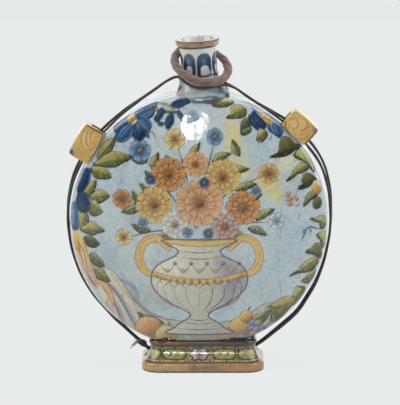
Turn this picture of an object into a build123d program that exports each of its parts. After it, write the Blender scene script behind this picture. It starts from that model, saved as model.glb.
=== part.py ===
"""Pilgrim flask: a flattened round tin-glazed bottle with a short neck, two strap lugs, a hollow
oblong foot, a rope ring round the neck and a doubled carrying cord. Millimetres, +Z up."""
from build123d import *
import math
import os

os.makedirs("parts", exist_ok=True)

# The painted front faces -Y. The origin lies under the middle of the body, on the table.

# Body: two domed panels pressed in one mould, luted to the edges of a round band
body_radius = 116.0
body_rise = 20.5
wall_half_depth = 24.0
dome_rise = 21.0
body_wall = 5.5
ridge_round = 6.0
inner_ridge_round = 3.0
band_half_depth = 21.0

# Neck, turned in one piece with its skirt and set on top of the body, leaning a little
neck_shift = 1.2
neck_lean = 3.5
neck_height = 47.6
skirt_width = 47.6
skirt_depth = 50.6
skirt_corner = 18.0
skirt_shift = 1.8
lip_width = 44.0
lip_depth = 54.6
lip_corner = 15.0
lip_shift = 3.6
lip_drop = 6.0
tuck_width = 32.0
tuck_depth = 48.6
tuck_corner = 12.0
tuck_shift = 4.2
tuck_drop = 12.0
flare_radius = 19.7
flare_height = 7.0
collar_radius = 17.4
collar_height = 15.0
tube_top_radius = 17.2
rim_band_height = 6.0
rim_band_step = 1.8
rim_radius = 20.4
rim_round = 1.3
mouth_radius = 16.6
mouth_depth = 9.5
bore_radius = 11.5
corner_of_round_share = 0.999
collar_run_share = (-0.16, 1.0)
tube_top_run_share = (0.16, 1.0)

# Foot: a hollow oblong stand with rounded corners, luted on under the body
foot_shift = 3.6
plinth_length = 110.8
plinth_depth = 72.0
plinth_height = 9.0
plinth_corner = 17.0
plinth_round = 2.6
sole_round = 1.4
cove_step = 2.2
waist_length = 95.6
waist_depth = 56.0
waist_height = 19.0
waist_corner = 13.0
bead_bottom = 23.5
bead_height = 4.8
bead_overhang = 1.1
bead_round = 2.2
saddle_length = 94.0
saddle_depth = 53.0
saddle_top = 36.0
foot_wall = 7.0
cord_hole_radius = 4.5
left_hole_height = 12.6
right_hole_height = 16.4

# Lugs: one small bridge on each shoulder, which the cord runs under. turn is the angle from +X
# round the body's middle, standoff is from the body's wall out, tilt is off the wall's own slope
lug_depth = 18.0
lug_front = 27.0
lug_corner = 2.4
lug_side_bulge = 1.1
lug_end_bulge = 0.7
lug_front_round = 1.2
lug_wall = 4.6
lug_outer_wall = 5.6
left_lug = {"length": 31.0, "width": 19.5, "turn": 144.3, "standoff": 7.7, "tilt": 5.2}
right_lug = {"length": 28.0, "width": 18.6, "turn": 43.9, "standoff": 9.4, "tilt": 3.6}

# Cord: two leather strands that run round the whole flask
cord_diameter = 2.4
arc_run_share = 0.45

# Knot and frayed ends of the cord beside the foot
knot_foot_end = (-47.7, 0.0, 16.8)
knot_body_end = (-54.3, 0.0, 22.8)
knot_radius = 4.1
knot_end_radius = 3.3
fray_length = 8.5
fray_root_radius = 0.75
fray_tip_radius = 0.25
fray_seat = 2.0
fray_headings = [(158, -30), (171, -12), (186, 6), (196, -24), (178, -42)]

# Rope ring round the neck
rope_radius = 3.9
ring_half_width = 24.6
ring_half_depth = 28.0
ring_shift = 2.1
ring_setback = 1.5
ring_rise = 23.5
ring_roll = 14.0
ring_pitch = 23.0
whipping_length = 11.0
whipping_wall = 1.1
whipping_turn = 74.0

# Cutting tools run this far past what they cut
overrun = 12.0

body_centre_height = body_rise + body_radius
flask_top = body_centre_height + body_radius
ring_centre = (ring_shift, ring_setback, flask_top + ring_rise)
body_axis = Axis((0, 0, body_centre_height), (0, 1, 0))
body_section = Plane.XY.offset(body_centre_height)


def half_section(inset, side, rounding):
    """Half section of the body on one side of its middle, drawn inset by a wall."""
    radius = body_radius - inset
    depth = side * (wall_half_depth - inset * dome_rise / body_radius)
    crown = side * (wall_half_depth + dome_rise - inset)
    with BuildSketch(body_section) as face:
        with BuildLine():
            Polyline((0, crown), (0, 0), (radius, 0), (radius, depth))
            TangentArc((0, crown), (radius, depth), tangent=(1, 0))
        make_face()
        ridge = face.vertices().sort_by_distance(body_section.from_local_coords((radius, depth)))[0]
        fillet(ridge, rounding)
    return face.sketch


neck_section = Plane(
    origin=(neck_shift, 0, flask_top),
    x_dir=(math.cos(math.radians(neck_lean)), 0, math.sin(math.radians(neck_lean))),
    z_dir=(0, -1, 0),
)
neck_axis = Axis(neck_section.origin, neck_section.y_dir)
neck_base = Plane(origin=neck_section.origin, x_dir=neck_section.x_dir, z_dir=neck_section.y_dir)

# The whole outside of the body, which cuts the seats of the neck, foot and lugs
with BuildPart() as body_outside:
    for side in (-1, 1):
        revolve(half_section(0, side, ridge_round), axis=body_axis)

# The hollow body, before it is parted into its panels and band
with BuildPart() as body_shell:
    add(body_outside.part)
    for side in (-1, 1):
        revolve(half_section(body_wall, side, inner_ridge_round), axis=body_axis, mode=Mode.SUBTRACT)

# Panels, each the part of the shell beyond the band's edge
body_middle = Plane(origin=(0, 0, body_centre_height), x_dir=(1, 0, 0), z_dir=(0, 1, 0))
panels = {}
for name, side in (("front_panel", -1), ("back_panel", 1)):
    with BuildPart() as panel:
        add(body_shell.part)
        with BuildSketch(body_middle.offset(side * band_half_depth)):
            Circle(body_radius + overrun)
        extrude(amount=side * (dome_rise + overrun), mode=Mode.INTERSECT)
    panels[name] = panel.part

# Band round the body's side, open under the neck
with BuildPart() as side_band:
    add(body_shell.part)
    with BuildSketch(body_middle):
        Circle(body_radius + overrun)
    extrude(amount=band_half_depth, both=True, mode=Mode.INTERSECT)
    with BuildSketch(neck_base.offset(overrun)):
        Circle(bore_radius)
    extrude(amount=-(2 * overrun + body_wall), mode=Mode.SUBTRACT)


def skirt_outline(height, width, depth, corner, shift):
    """Rounded oblong across the neck's skirt at one height above the body's top."""
    with BuildSketch(neck_base.offset(height)) as outline:
        with Locations((shift, 0)):
            RectangleRounded(width, depth, corner)
    return outline.sketch


# Neck
band_bottom = neck_height - rim_band_height
with BuildPart() as neck:
    with BuildSketch(neck_section) as neck_face:
        with BuildLine():
            Line((0, collar_height), (collar_radius, collar_height))
            Spline((collar_radius, collar_height), (tube_top_radius, band_bottom),
                   tangents=[collar_run_share, tube_top_run_share])
            Polyline((tube_top_radius, band_bottom), (tube_top_radius + rim_band_step, band_bottom),
                     (rim_radius, neck_height - rim_round), (rim_radius, neck_height),
                     (mouth_radius, neck_height), (bore_radius, neck_height - mouth_depth),
                     (0, neck_height - mouth_depth), (0, collar_height))
        make_face()
        lip_corners = [neck_section.from_local_coords((r, neck_height)) for r in (rim_radius, mouth_radius)]
        fillet([neck_face.vertices().sort_by_distance(corner)[0] for corner in lip_corners], rim_round)
    revolve(axis=neck_axis)
    # The skirt flares from the round collar to an oblong over the side wall
    loft([
        skirt_outline(0, skirt_width, skirt_depth, skirt_corner, skirt_shift),
        skirt_outline(flare_height, 2 * flare_radius, 2 * flare_radius,
                      flare_radius * corner_of_round_share, 0),
        skirt_outline(collar_height, 2 * collar_radius, 2 * collar_radius,
                      collar_radius * corner_of_round_share, 0),
    ])
    # Its lip laps over the ridge, front and back, and tucks in under the dome's surface
    loft([
        skirt_outline(-tuck_drop, tuck_width, tuck_depth, tuck_corner, tuck_shift),
        skirt_outline(-lip_drop, lip_width, lip_depth, lip_corner, lip_shift),
        skirt_outline(0, skirt_width, skirt_depth, skirt_corner, skirt_shift),
    ])
    with BuildSketch(neck_base.offset(neck_height)):
        Circle(bore_radius)
    extrude(amount=-(neck_height + tuck_drop + overrun), mode=Mode.SUBTRACT)
    add(body_outside.part, mode=Mode.SUBTRACT)


def foot_outline(height, length, depth, corner):
    """Rounded oblong of the foot at one height."""
    with BuildSketch(Plane.XY.offset(height)) as outline:
        with Locations((foot_shift, 0)):
            RectangleRounded(length, depth, corner)
    return outline.sketch


# Foot
cove_length = plinth_length - 2 * cove_step
cove_depth = plinth_depth - 2 * cove_step
bead_length = waist_length + 2 * bead_overhang
bead_depth = waist_depth + 2 * bead_overhang
bead_top = bead_bottom + bead_height
with BuildPart() as foot:
    extrude(foot_outline(0, plinth_length, plinth_depth, plinth_corner), amount=plinth_height)
    fillet(foot.edges().group_by(Axis.Z)[-1], plinth_round)
    fillet(foot.edges().group_by(Axis.Z)[0], sole_round)
    loft([
        foot_outline(plinth_height, cove_length - plinth_round, cove_depth - plinth_round,
                     plinth_corner - cove_step),
        foot_outline((plinth_height + waist_height) / 2, (2 * waist_length + cove_length) / 3,
                     (2 * waist_depth + cove_depth) / 3, waist_corner),
        foot_outline(waist_height, waist_length, waist_depth, waist_corner),
        foot_outline(bead_bottom, waist_length, waist_depth, waist_corner),
    ])
    with BuildPart(mode=Mode.PRIVATE) as bead:
        extrude(foot_outline(bead_bottom, bead_length, bead_depth, waist_corner + bead_overhang),
                amount=bead_height)
        fillet(bead.edges().filter_by(Plane.XY), bead_round)
    add(bead.part)
    extrude(foot_outline(bead_top - bead_round, saddle_length, saddle_depth, waist_corner),
            amount=saddle_top - bead_top + bead_round)
    add(body_outside.part, mode=Mode.SUBTRACT)
    loft([
        foot_outline(0, plinth_length - 2 * foot_wall, plinth_depth - 2 * foot_wall,
                     plinth_corner - foot_wall),
        foot_outline(waist_height, saddle_length - 2 * foot_wall, saddle_depth - 2 * foot_wall,
                     waist_corner - foot_wall),
    ], mode=Mode.SUBTRACT)
    extrude(foot_outline(waist_height, saddle_length - 2 * foot_wall, saddle_depth - 2 * foot_wall,
                         waist_corner - foot_wall), amount=saddle_top, mode=Mode.SUBTRACT)
    for hole_height, end in ((left_hole_height, -1), (right_hole_height, 1)):
        with BuildSketch(Plane.YZ.offset(foot_shift + end * plinth_length / 2)):
            with Locations((0, hole_height)):
                Circle(cord_hole_radius)
        extrude(amount=-end * (plinth_length - saddle_length + foot_wall + overrun), mode=Mode.SUBTRACT)

# Lugs
lugs = {}
for name, size in (("lug_left", left_lug), ("lug_right", right_lug)):
    turn = math.radians(size["turn"])
    slope = turn - math.pi / 2 + math.radians(size["tilt"])
    lug_distance = body_radius + size["standoff"]
    lug_plane = Plane(
        origin=(lug_distance * math.cos(turn), -lug_front,
                body_centre_height + lug_distance * math.sin(turn)),
        x_dir=(math.cos(slope), 0, math.sin(slope)),
        z_dir=(0, -1, 0),
    )
    half_length = size["length"] / 2
    half_width = size["width"] / 2
    with BuildPart() as lug:
        with BuildSketch(lug_plane) as lug_face:
            with BuildLine():
                ThreePointArc((-half_length, half_width), (0, half_width + lug_side_bulge),
                              (half_length, half_width))
                ThreePointArc((half_length, half_width), (half_length + lug_end_bulge, 0),
                              (half_length, -half_width))
                ThreePointArc((half_length, -half_width), (0, -half_width - lug_side_bulge),
                              (-half_length, -half_width))
                ThreePointArc((-half_length, -half_width), (-half_length - lug_end_bulge, 0),
                              (-half_length, half_width))
            make_face()
            fillet(lug_face.vertices(), lug_corner)
        extrude(amount=-lug_depth)
        fillet(lug.faces().sort_by(Axis.Y)[0].edges(), lug_front_round)
        # The tunnel is open towards the body, so the cord lies on the body's wall
        with BuildSketch(lug_plane.offset(-lug_wall)):
            with Locations((0, -lug_outer_wall)):
                Rectangle(size["length"] + 2 * overrun, size["width"])
        extrude(amount=-(lug_depth - 2 * lug_wall), mode=Mode.SUBTRACT)
        add(body_outside.part, mode=Mode.SUBTRACT)
    lugs[name] = lug.part

# Cord routes, from the top of the knot up the left side, over the shoulders and down to the foot
front_cord_route = [
    (-54.3, -1.7, 22.8), (-63.1, -1.7, 30.8), (-78.9, -4.5, 45.8), (-101.8, -6.0, 72.9),
    (-116.2, -6.5, 107.5), (-119.3, -9.5, 144.8), (-112.9, -17.6, 176.5), (-99.1, -19.6, 202.1),
    (-81.0, -19.2, 223.4), (-62.5, -13.0, 239.3), (-44.0, -8.0, 252.0), (-24.5, -13.0, 261.4),
    (-5.2, -23.3, 259.8), (6.6, -23.5, 258.4), (27.0, -12.6, 257.6), (45.5, -8.0, 247.3),
    (62.0, -15.5, 237.4), (77.3, -19.9, 226.9), (96.3, -19.9, 207.8), (110.2, -14.5, 187.9),
    (117.3, -7.0, 163.6), (119.4, -3.4, 136.5), (117.4, -2.2, 112.0), (110.0, -2.0, 84.8),
    (101.6, -2.0, 67.4), (88.9, -1.9, 47.4), (71.2, -1.8, 33.0), (57.0, -1.7, 20.9),
    (44.5, -1.7, 14.6), (28.0, -1.7, 13.4), (5.0, -1.7, 12.9), (-18.0, -1.7, 12.0),
    (-33.0, -1.7, 11.6), (-42.75, -1.7, 12.3), (-47.7, -1.7, 16.8),
]
back_cord_route = [
    (-54.3, 1.7, 22.8), (-63.1, 1.7, 30.8), (-78.6, 2.8, 45.6), (-101.4, 4.0, 73.1),
    (-115.9, 3.5, 107.6), (-119.3, -5.5, 144.8), (-114.6, -14.6, 177.3), (-101.2, -16.0, 203.6),
    (-82.8, -15.8, 225.1), (-62.8, -9.0, 239.9), (-44.0, -1.5, 250.9), (-24.5, 11.5, 260.0),
    (-5.2, 23.3, 261.2), (7.6, 23.5, 260.2), (27.4, 13.4, 257.2), (45.5, -3.0, 246.2),
    (62.2, -11.5, 237.6), (79.0, -16.2, 229.3), (97.4, -16.2, 212.6), (111.0, -12.0, 193.1),
    (117.9, -3.0, 170.3), (119.9, -0.2, 144.0), (118.0, 1.6, 115.0), (110.4, 1.7, 86.2),
    (100.9, 1.7, 68.4), (88.0, 1.7, 48.3), (70.6, 1.7, 33.8), (56.6, 1.7, 21.4),
    (44.5, 1.7, 14.8), (28.0, 1.7, 13.6), (5.0, 1.7, 13.1), (-18.0, 1.7, 12.1),
    (-33.0, 1.7, 11.7), (-42.75, 1.7, 12.3), (-47.7, 1.7, 16.8),
]


def corner_radii(points):
    """Radius of the arc at each inner point: as large as its two runs allow."""
    radii = []
    for before, at, after in zip(points, points[1:], points[2:]):
        into = Vector(*at) - Vector(*before)
        out = Vector(*after) - Vector(*at)
        half_turn = math.radians(into.get_angle(out)) / 2
        radii.append(arc_run_share * min(into.length, out.length) / math.tan(half_turn))
    return radii


cords = {}
for name, route in (("cord_front", front_cord_route), ("cord_back", back_cord_route)):
    radii = corner_radii(route)
    with BuildPart() as cord:
        with BuildLine() as path:
            FilletPolyline(*route, radius=radii)
        with BuildSketch(Plane(origin=path.wire() @ 0, z_dir=path.wire() % 0)):
            Circle(cord_diameter / 2)
        sweep()
    cords[name] = cord.part
    tube_length = path.wire().length
    filled = cord.part.volume / (math.pi * cord_diameter ** 2 / 4 * tube_length)
    print(name, "length", round(tube_length, 1), "volume over section times length", round(filled, 4))
    print(name, "radii", [round(radius, 1) for radius in radii])

# Knot beside the foot, with the frayed ends of the strands
knot_span = Vector(*knot_body_end) - Vector(*knot_foot_end)
knot_middle = (Vector(*knot_body_end) + Vector(*knot_foot_end)) / 2
knot_section = Plane(origin=knot_middle, x_dir=knot_span, z_dir=(0, -1, 0))
knot_axis = Axis(knot_middle, knot_span)
half_knot = knot_span.length / 2
with BuildPart() as foot_knot:
    with BuildSketch(knot_section):
        with BuildLine():
            Line((-half_knot, 0), (-half_knot, knot_end_radius))
            ThreePointArc((-half_knot, knot_end_radius), (0, knot_radius), (half_knot, knot_end_radius))
            Polyline((half_knot, knot_end_radius), (half_knot, 0), (-half_knot, 0))
        make_face()
    revolve(axis=knot_axis)
    for turn, rise in fray_headings:
        heading = Vector(
            math.cos(math.radians(turn)) * math.cos(math.radians(rise)),
            math.sin(math.radians(turn)) * math.cos(math.radians(rise)),
            math.sin(math.radians(rise)),
        )
        fray_start = knot_middle + heading * fray_seat
        fray_root = Plane(origin=fray_start, z_dir=heading)
        with BuildSketch(fray_root):
            Circle(fray_root_radius)
        with BuildSketch(fray_root.offset(fray_length)):
            Circle(fray_tip_radius)
        loft()

# Rope ring: an oval of four arcs, tipped forward on the neck's skirt
roll = math.radians(ring_roll)
pitch = math.radians(ring_pitch)
ring_width_dir = Vector(math.cos(roll), 0, -math.sin(roll))
ring_depth_dir = Vector(
    math.sin(pitch) * math.sin(roll), math.cos(pitch), math.sin(pitch) * math.cos(roll))
ring_plane = Plane(origin=ring_centre, x_dir=ring_width_dir, z_dir=ring_width_dir.cross(ring_depth_dir))
# The arcs meet where the oval's outside faces halfway between its end and its side
end_arc_radius = (ring_half_width + ring_half_depth * (1 - math.sqrt(2))) / (2 - math.sqrt(2))
join_width = end_arc_radius * math.sqrt(2) / 2
join_depth = ring_half_depth - end_arc_radius + join_width

with BuildPart() as carry_ring:
    with BuildLine(ring_plane) as ring_path:
        ThreePointArc((join_width, -join_depth), (ring_half_width, 0), (join_width, join_depth))
        ThreePointArc((join_width, join_depth), (0, ring_half_depth), (-join_width, join_depth))
        ThreePointArc((-join_width, join_depth), (-ring_half_width, 0), (-join_width, -join_depth))
        ThreePointArc((-join_width, -join_depth), (0, -ring_half_depth), (join_width, -join_depth))
    with BuildSketch(Plane(origin=ring_path.wire() @ 0, z_dir=ring_path.wire() % 0)):
        Circle(rope_radius)
    sweep()

# Whipping that binds the rope's two ends together behind the neck
whipping_arc = math.degrees(whipping_length / end_arc_radius)
with BuildPart() as ring_whipping:
    with BuildLine(ring_plane) as whipping_path:
        CenterArc((0, ring_half_depth - end_arc_radius), end_arc_radius, whipping_turn, whipping_arc)
    with BuildSketch(Plane(origin=whipping_path.wire() @ 0, z_dir=whipping_path.wire() % 0)):
        Circle(rope_radius + whipping_wall)
        Circle(rope_radius, mode=Mode.SUBTRACT)
    sweep()

nodes = {
    **panels,
    "side_band": side_band.part,
    "neck": neck.part,
    "foot": foot.part,
    **lugs,
    **cords,
    "foot_knot": foot_knot.part,
    "carry_ring": carry_ring.part,
    "ring_whipping": ring_whipping.part,
}
for name, part in nodes.items():
    part.label = name
    export_step(part, f"parts/{name}.step")
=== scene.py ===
import math
import bmesh
import bpy
import numpy as np
from mathutils import Matrix, Vector


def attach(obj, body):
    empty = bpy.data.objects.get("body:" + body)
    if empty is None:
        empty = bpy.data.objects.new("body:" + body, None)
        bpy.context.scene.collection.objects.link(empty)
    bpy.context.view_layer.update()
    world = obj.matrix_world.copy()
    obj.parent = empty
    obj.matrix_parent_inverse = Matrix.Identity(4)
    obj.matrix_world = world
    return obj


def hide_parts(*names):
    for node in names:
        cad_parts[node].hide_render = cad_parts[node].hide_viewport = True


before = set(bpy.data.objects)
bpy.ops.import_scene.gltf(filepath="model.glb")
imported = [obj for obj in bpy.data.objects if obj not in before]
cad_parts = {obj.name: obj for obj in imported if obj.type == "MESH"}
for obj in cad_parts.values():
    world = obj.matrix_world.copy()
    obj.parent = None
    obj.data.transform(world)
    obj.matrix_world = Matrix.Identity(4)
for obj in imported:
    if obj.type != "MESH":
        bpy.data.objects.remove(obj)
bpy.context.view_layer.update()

mm = 0.001
fullTurn = 2 * math.pi
scene = bpy.context.scene
scene.view_settings.view_transform = "Standard"


def addObject(name, data):
    obj = bpy.data.objects.new(name, data)
    scene.collection.objects.link(obj)
    return obj


# Camera, at the photograph's angle
camera = {"target": (0.0009, 0, 0.15017), "elevation": 11, "distance": 3.5, "lens": 343.97, "sensor": 36, "clipEnd": 50}


def placeCamera():
    lens = bpy.data.cameras.new("photoCamera")
    lens.sensor_fit = "AUTO"
    lens.sensor_width = camera["sensor"]
    lens.lens = camera["lens"]
    lens.clip_end = camera["clipEnd"]
    rise = math.radians(camera["elevation"])
    away = Vector((0, -math.cos(rise), math.sin(rise)))
    obj = addObject("photoCamera", lens)
    obj.location = Vector(camera["target"]) + away * camera["distance"]
    obj.rotation_euler = (-away).to_track_quat("-Z", "Y").to_euler()
    scene.camera = obj


placeCamera()


# Colours, as they look on screen
glazes = {
    "ground": (174, 188, 193), "milk": (196, 200, 194), "mist": (146, 164, 176), "greyBlue": (120, 140, 156),
    "cobalt": (56, 94, 132), "cobaltLight": (124, 154, 182), "deepBlue": (30, 60, 98), "navy": (14, 30, 50),
    "olive": (106, 108, 60), "oliveLight": (172, 168, 106), "oliveDark": (58, 62, 34), "pine": (24, 34, 28),
    "sage": (132, 140, 106), "ochre": (186, 148, 76), "ochreLight": (204, 176, 108), "ochreDark": (154, 106, 42),
    "rust": (156, 98, 54), "peach": (204, 162, 122), "apricot": (194, 138, 82), "lemon": (206, 196, 140),
    "cream": (202, 199, 178), "creamShade": (164, 164, 154), "violet": (136, 134, 150), "plum": (88, 70, 82),
    "umber": (74, 50, 34), "brown": (122, 84, 54), "black": (26, 22, 22), "white": (226, 226, 220),
    "bandBrown": (150, 120, 88), "slate": (36, 50, 60), "moss": (170, 160, 98), "rose": (188, 156, 146),
    "archBlue": (40, 66, 96), "bandOrange": (158, 120, 78), "footOlive": (146, 136, 84), "beadBrown": (78, 56, 42),
}
# Light, body, shade and ink of each kind of leaf, petal or fruit
leafLooks = {
    "olive": ("oliveLight", "olive", "oliveDark", "pine"), "dark": ("olive", "oliveDark", "pine", "black"),
    "sage": ("sage", "olive", "pine", "pine"), "yellow": ("moss", "olive", "oliveDark", "pine"),
    "blue": ("cobaltLight", "cobalt", "deepBlue", "navy"), "deep": ("cobalt", "deepBlue", "navy", "navy"),
    "ochre": ("ochreLight", "ochre", "brown", "brown"), "peach": ("peach", "apricot", "rust", "brown"),
    "rust": ("apricot", "rust", "brown", "umber"), "cream": ("cream", "creamShade", "violet", "violet"),
    "lemon": ("lemon", "ochre", "ochreDark", "brown"), "pale": ("milk", "mist", "greyBlue", "cobalt"),
    "rose": ("rose", "peach", "brown", "plum"), "violetGrape": ("rose", "violet", "plum", "plum"),
    "blueGrape": ("cobaltLight", "greyBlue", "deepBlue", "navy"), "beadGlaze": ("lemon", "moss", "sage", "oliveDark"),
}


def linear(rgb):
    share = np.array(rgb, float) / 255
    return np.where(share <= 0.04045, share / 12.92, ((share + 0.055) / 1.055) ** 2.4)


glazes = {name: linear(rgb) for name, rgb in glazes.items()}


# Brush: every painted face is a canvas of points in millimetres, and a path is a flat list of x, z, x, z
def newCanvas(at, ground="ground"):
    at = np.array(at, float)
    return {"at": at, "paint": np.tile(glazes[ground], (len(at), 1)), "ink": np.full(len(at), 3.0),
            "inkPaint": np.tile(glazes["umber"], (len(at), 1))}


def pairs(points):
    return np.array(points, float).reshape(-1, 2)


def polar(reach, angle, stretch=(1, 1)):
    return np.array((stretch[0] * reach * math.cos(angle), stretch[1] * reach * math.sin(angle)))


def arc(centre, radii, angles):
    return [(centre[0] + radii[0] * math.cos(a), centre[1] + radii[1] * math.sin(a)) for a in angles]


def roundAngles(count):
    return np.linspace(0, fullTurn, count + 1)[:-1]


def smoothPath(points, closed=False, steps=5):
    knots = pairs(points)
    if closed:
        line = np.vstack([knots[-1:], knots, knots[:2]])
    else:
        line = np.vstack([2 * knots[0] - knots[1], knots, 2 * knots[-1] - knots[-2]])
    t = np.linspace(0, 1, steps, endpoint=False)[:, None]
    runs = [0.5 * (2 * b + (c - a) * t + (2 * a - 5 * b + 4 * c - d) * t ** 2 + (3 * b - a - 3 * c + d) * t ** 3)
            for a, b, c, d in zip(line, line[1:], line[2:], line[3:])]
    return np.vstack(runs) if closed else np.vstack(runs + [knots[-1:]])


def pathGap(at, path, closed=False):
    ends = np.roll(path, -1, axis=0) if closed else path[1:]
    starts = path if closed else path[:-1]
    best, share = np.full(len(at), 1e9), np.zeros(len(at))
    for k, (a, b) in enumerate(zip(starts, ends)):
        run = b - a
        t = np.clip(((at - a) @ run) / max(run @ run, 1e-9), 0, 1)
        gap = np.hypot(*(at - a - t[:, None] * run).T)
        nearer = gap < best
        best[nearer] = gap[nearer]
        share[nearer] = ((k + t) / len(starts))[nearer]
    return best, share


def inOutline(at, outline):
    inside = np.zeros(len(at), bool)
    for (x0, z0), (x1, z1) in zip(outline, np.roll(outline, -1, axis=0)):
        if z0 != z1:
            crosses = (z0 > at[:, 1]) != (z1 > at[:, 1])
            inside ^= crosses & (at[:, 0] < x0 + (at[:, 1] - z0) * (x1 - x0) / (z1 - z0))
    return inside


def nearRows(canvas, path, margin):
    at = canvas["at"]
    return np.nonzero(((at > path.min(0) - margin) & (at < path.max(0) + margin)).all(1))[0]


def layGlaze(canvas, rows, gap, wet, strength=1.0, soft=0.55):
    cover = (np.clip(0.5 - gap / (2 * soft), 0, 1) * strength)[:, None]
    canvas["paint"][rows] = canvas["paint"][rows] * (1 - cover) + wet * cover
    if strength > 0.7:
        canvas["ink"][rows] = np.maximum(canvas["ink"][rows], -gap)


def layInk(canvas, rows, edge, colour):
    nearer = edge < canvas["ink"][rows]
    canvas["ink"][rows[nearer]] = edge[nearer]
    canvas["inkPaint"][rows[nearer]] = glazes[colour]


def tint(canvas, share, colour):
    canvas["paint"][:] = canvas["paint"] * (1 - share[:, None]) + glazes[colour] * share[:, None]


def brushed(at, way, amount):
    across = np.array([-way[1], way[0]])
    u, v = at @ across, at @ way
    hair = np.sin(2.3 * u + 0.4 * np.sin(0.5 * v)) + 0.7 * np.sin(4.1 * u + 0.22 * v + 1.3) + 0.5 * np.sin(0.9 * u + 2)
    return 1 + amount * hair[:, None] / 2


def pressed(share, ends, lift=0.3):
    # How hard the brush is pressed along its stroke, from its start to its end
    start, stop = ends[0] + share * (1 - ends[0]) / lift, ends[1] + (1 - share) * (1 - ends[1]) / lift
    return np.clip(np.minimum(start, stop), 0, 1)


def fillShape(canvas, points, colour, shade=None, way=(0.5, -0.85), strength=1.0, smooth=True, streaks=0.1, soft=0.55):
    outline = smoothPath(points, True) if smooth else pairs(points)
    rows = nearRows(canvas, outline, soft + 1)
    if not len(rows):
        return outline
    at = canvas["at"][rows]
    gap, _ = pathGap(at, outline, True)
    gap = np.where(inOutline(at, outline), -gap, gap)
    way = np.array(way, float) / np.hypot(*way)
    wet = glazes[colour]
    if shade:
        span = outline @ way
        run = np.clip((at @ way - span.min()) / max(np.ptp(span), 1e-6), 0, 1)
        run = (run * run * (3 - 2 * run))[:, None]
        wet = wet * (1 - run) + glazes[shade] * run
    layGlaze(canvas, rows, gap, wet * brushed(at, way, streaks), strength, soft)
    return outline


def inkLine(canvas, points, width=0.9, colour="umber", ends=(0.35, 0.35), smooth=True, closed=False):
    points = pairs(points)
    path = smoothPath(points, closed) if smooth and len(points) > 2 else points
    rows = nearRows(canvas, path, width + 2)
    if len(rows):
        gap, share = pathGap(canvas["at"][rows], path, closed)
        layInk(canvas, rows, gap - width / 2 * (1 if closed else pressed(share, ends)), colour)


def brushStroke(canvas, points, width, colour, shade=None, ends=(0.4, 0.4), strength=1.0, edge=None):
    points = pairs(points)
    path = smoothPath(points) if len(points) > 2 else points
    rows = nearRows(canvas, path, width + 2)
    if not len(rows):
        return
    gap, share = pathGap(canvas["at"][rows], path)
    half = width / 2 * pressed(share, ends)
    wet = np.tile(glazes[colour], (len(rows), 1))
    if shade:
        depth = np.clip(gap / np.maximum(half, 0.1), 0, 1)[:, None] ** 2
        wet = wet * (1 - depth) + glazes[shade] * depth
    layGlaze(canvas, rows, gap - half, wet, strength)
    if edge:
        layInk(canvas, rows, abs(gap - half) - 0.3, edge)


def wash(canvas, centre, radii, colour, strength=0.5, turn=0.0):
    at = canvas["at"] - np.array(centre)
    c, s = math.cos(math.radians(turn)), math.sin(math.radians(turn))
    u, v = (at @ (c, s)) / radii[0], (at @ (-s, c)) / radii[1]
    torn = 0.16 * np.sin(5 * u + 3 * v) + 0.1 * np.sin(9 * v - 4 * u + 1) + 0.08 * np.sin(17 * u + 2 * v)
    tint(canvas, np.clip(1.25 - np.hypot(u, v) + torn, 0, 1) ** 1.3 * strength, colour)


def leafShape(canvas, points, look="olive", veins=3, line=0.8):
    # The first point is the leaf's tip; its rib runs from there to the point furthest away
    light, body, shade, ink = leafLooks[look]
    outline = fillShape(canvas, points, light, body, streaks=0.34)
    tip = pairs(points)[0]
    base = outline[np.argmax(np.hypot(*(outline - tip).T))]
    middle, along = outline.mean(0), base - tip
    length = np.hypot(*along)
    side = np.array([-along[1], along[0]])
    if side @ (0.45, -0.9) < 0:
        side = -side
    ribLine = smoothPath([tip, 0.5 * (middle + (tip + base) / 2), base])

    def onRib(share):
        return ribLine[int(share * (len(ribLine) - 1))]

    # The half away from the light, then the rib and its veins
    dark = sorted([p for p in outline if (p - middle) @ side > 0], key=lambda p: (p - tip) @ along)
    if len(dark) > 3:
        fillShape(canvas, dark[::2] + list(ribLine[::-3]), body, shade, side, 0.78, False, 0.3)
    inkLine(canvas, ribLine, 0.6, shade, (0.9, 0.3), False)
    for k in range(veins):
        for turn in (1, -1):
            start = onRib((k + 1.2) / (veins + 1.2))
            reach = 0.17 * (side * turn - 0.8 * along)
            inkLine(canvas, [start, start + reach / 2, start + reach], 0.4, shade, smooth=False)
    # A dark tail where the brush left the leaf, and hatching on the dark half
    tail = [onRib(t) + 0.05 * side * (t > 0.2) for t in (0, 0.15, 0.3, 0.5)]
    brushStroke(canvas, tail, 2.6, shade, body, (0.9, 0.1), 0.75)
    for k in range(4):
        start, hatch = onRib(0.2 + 0.19 * k), 0.24 * side - 0.12 * along
        brushStroke(canvas, [start + 0.25 * hatch, start + 0.9 * hatch], 0.9, (light, shade)[k % 2], strength=0.55)
    rows = nearRows(canvas, outline, 2)
    gap, _ = pathGap(canvas["at"][rows], outline, True)
    layInk(canvas, rows, gap - line * np.where((canvas["at"][rows] - middle) @ side > 0, 0.74, 0.36), ink)


def petal(canvas, points, look="blue", line=0.8, streak=True):
    light, body, shade, ink = leafLooks[look]
    outline = fillShape(canvas, points, body, shade, streaks=0.22)
    if streak:
        # Light and dark hairs of the brush along the petal
        middle = outline.mean(0)
        spread, ways = np.linalg.eigh(np.cov((outline - middle).T))
        across, along = ways[:, 0] * math.sqrt(spread[0]) * 1.3, ways[:, 1] * math.sqrt(spread[1]) * 1.25
        for k in range(-2, 3):
            bow = across * k * 0.42
            width, tone = (1.5, light) if k in (-2, 0, 1) else (1.2, shade)
            hair = [middle - 0.85 * along + 0.5 * bow, middle + 1.25 * bow, middle + 0.9 * along + 0.7 * bow]
            brushStroke(canvas, hair, width, tone, body, (0.2, 0.5), 0.72 if k else 0.5)
    inkLine(canvas, outline[::2], line, ink, closed=True)


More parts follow.
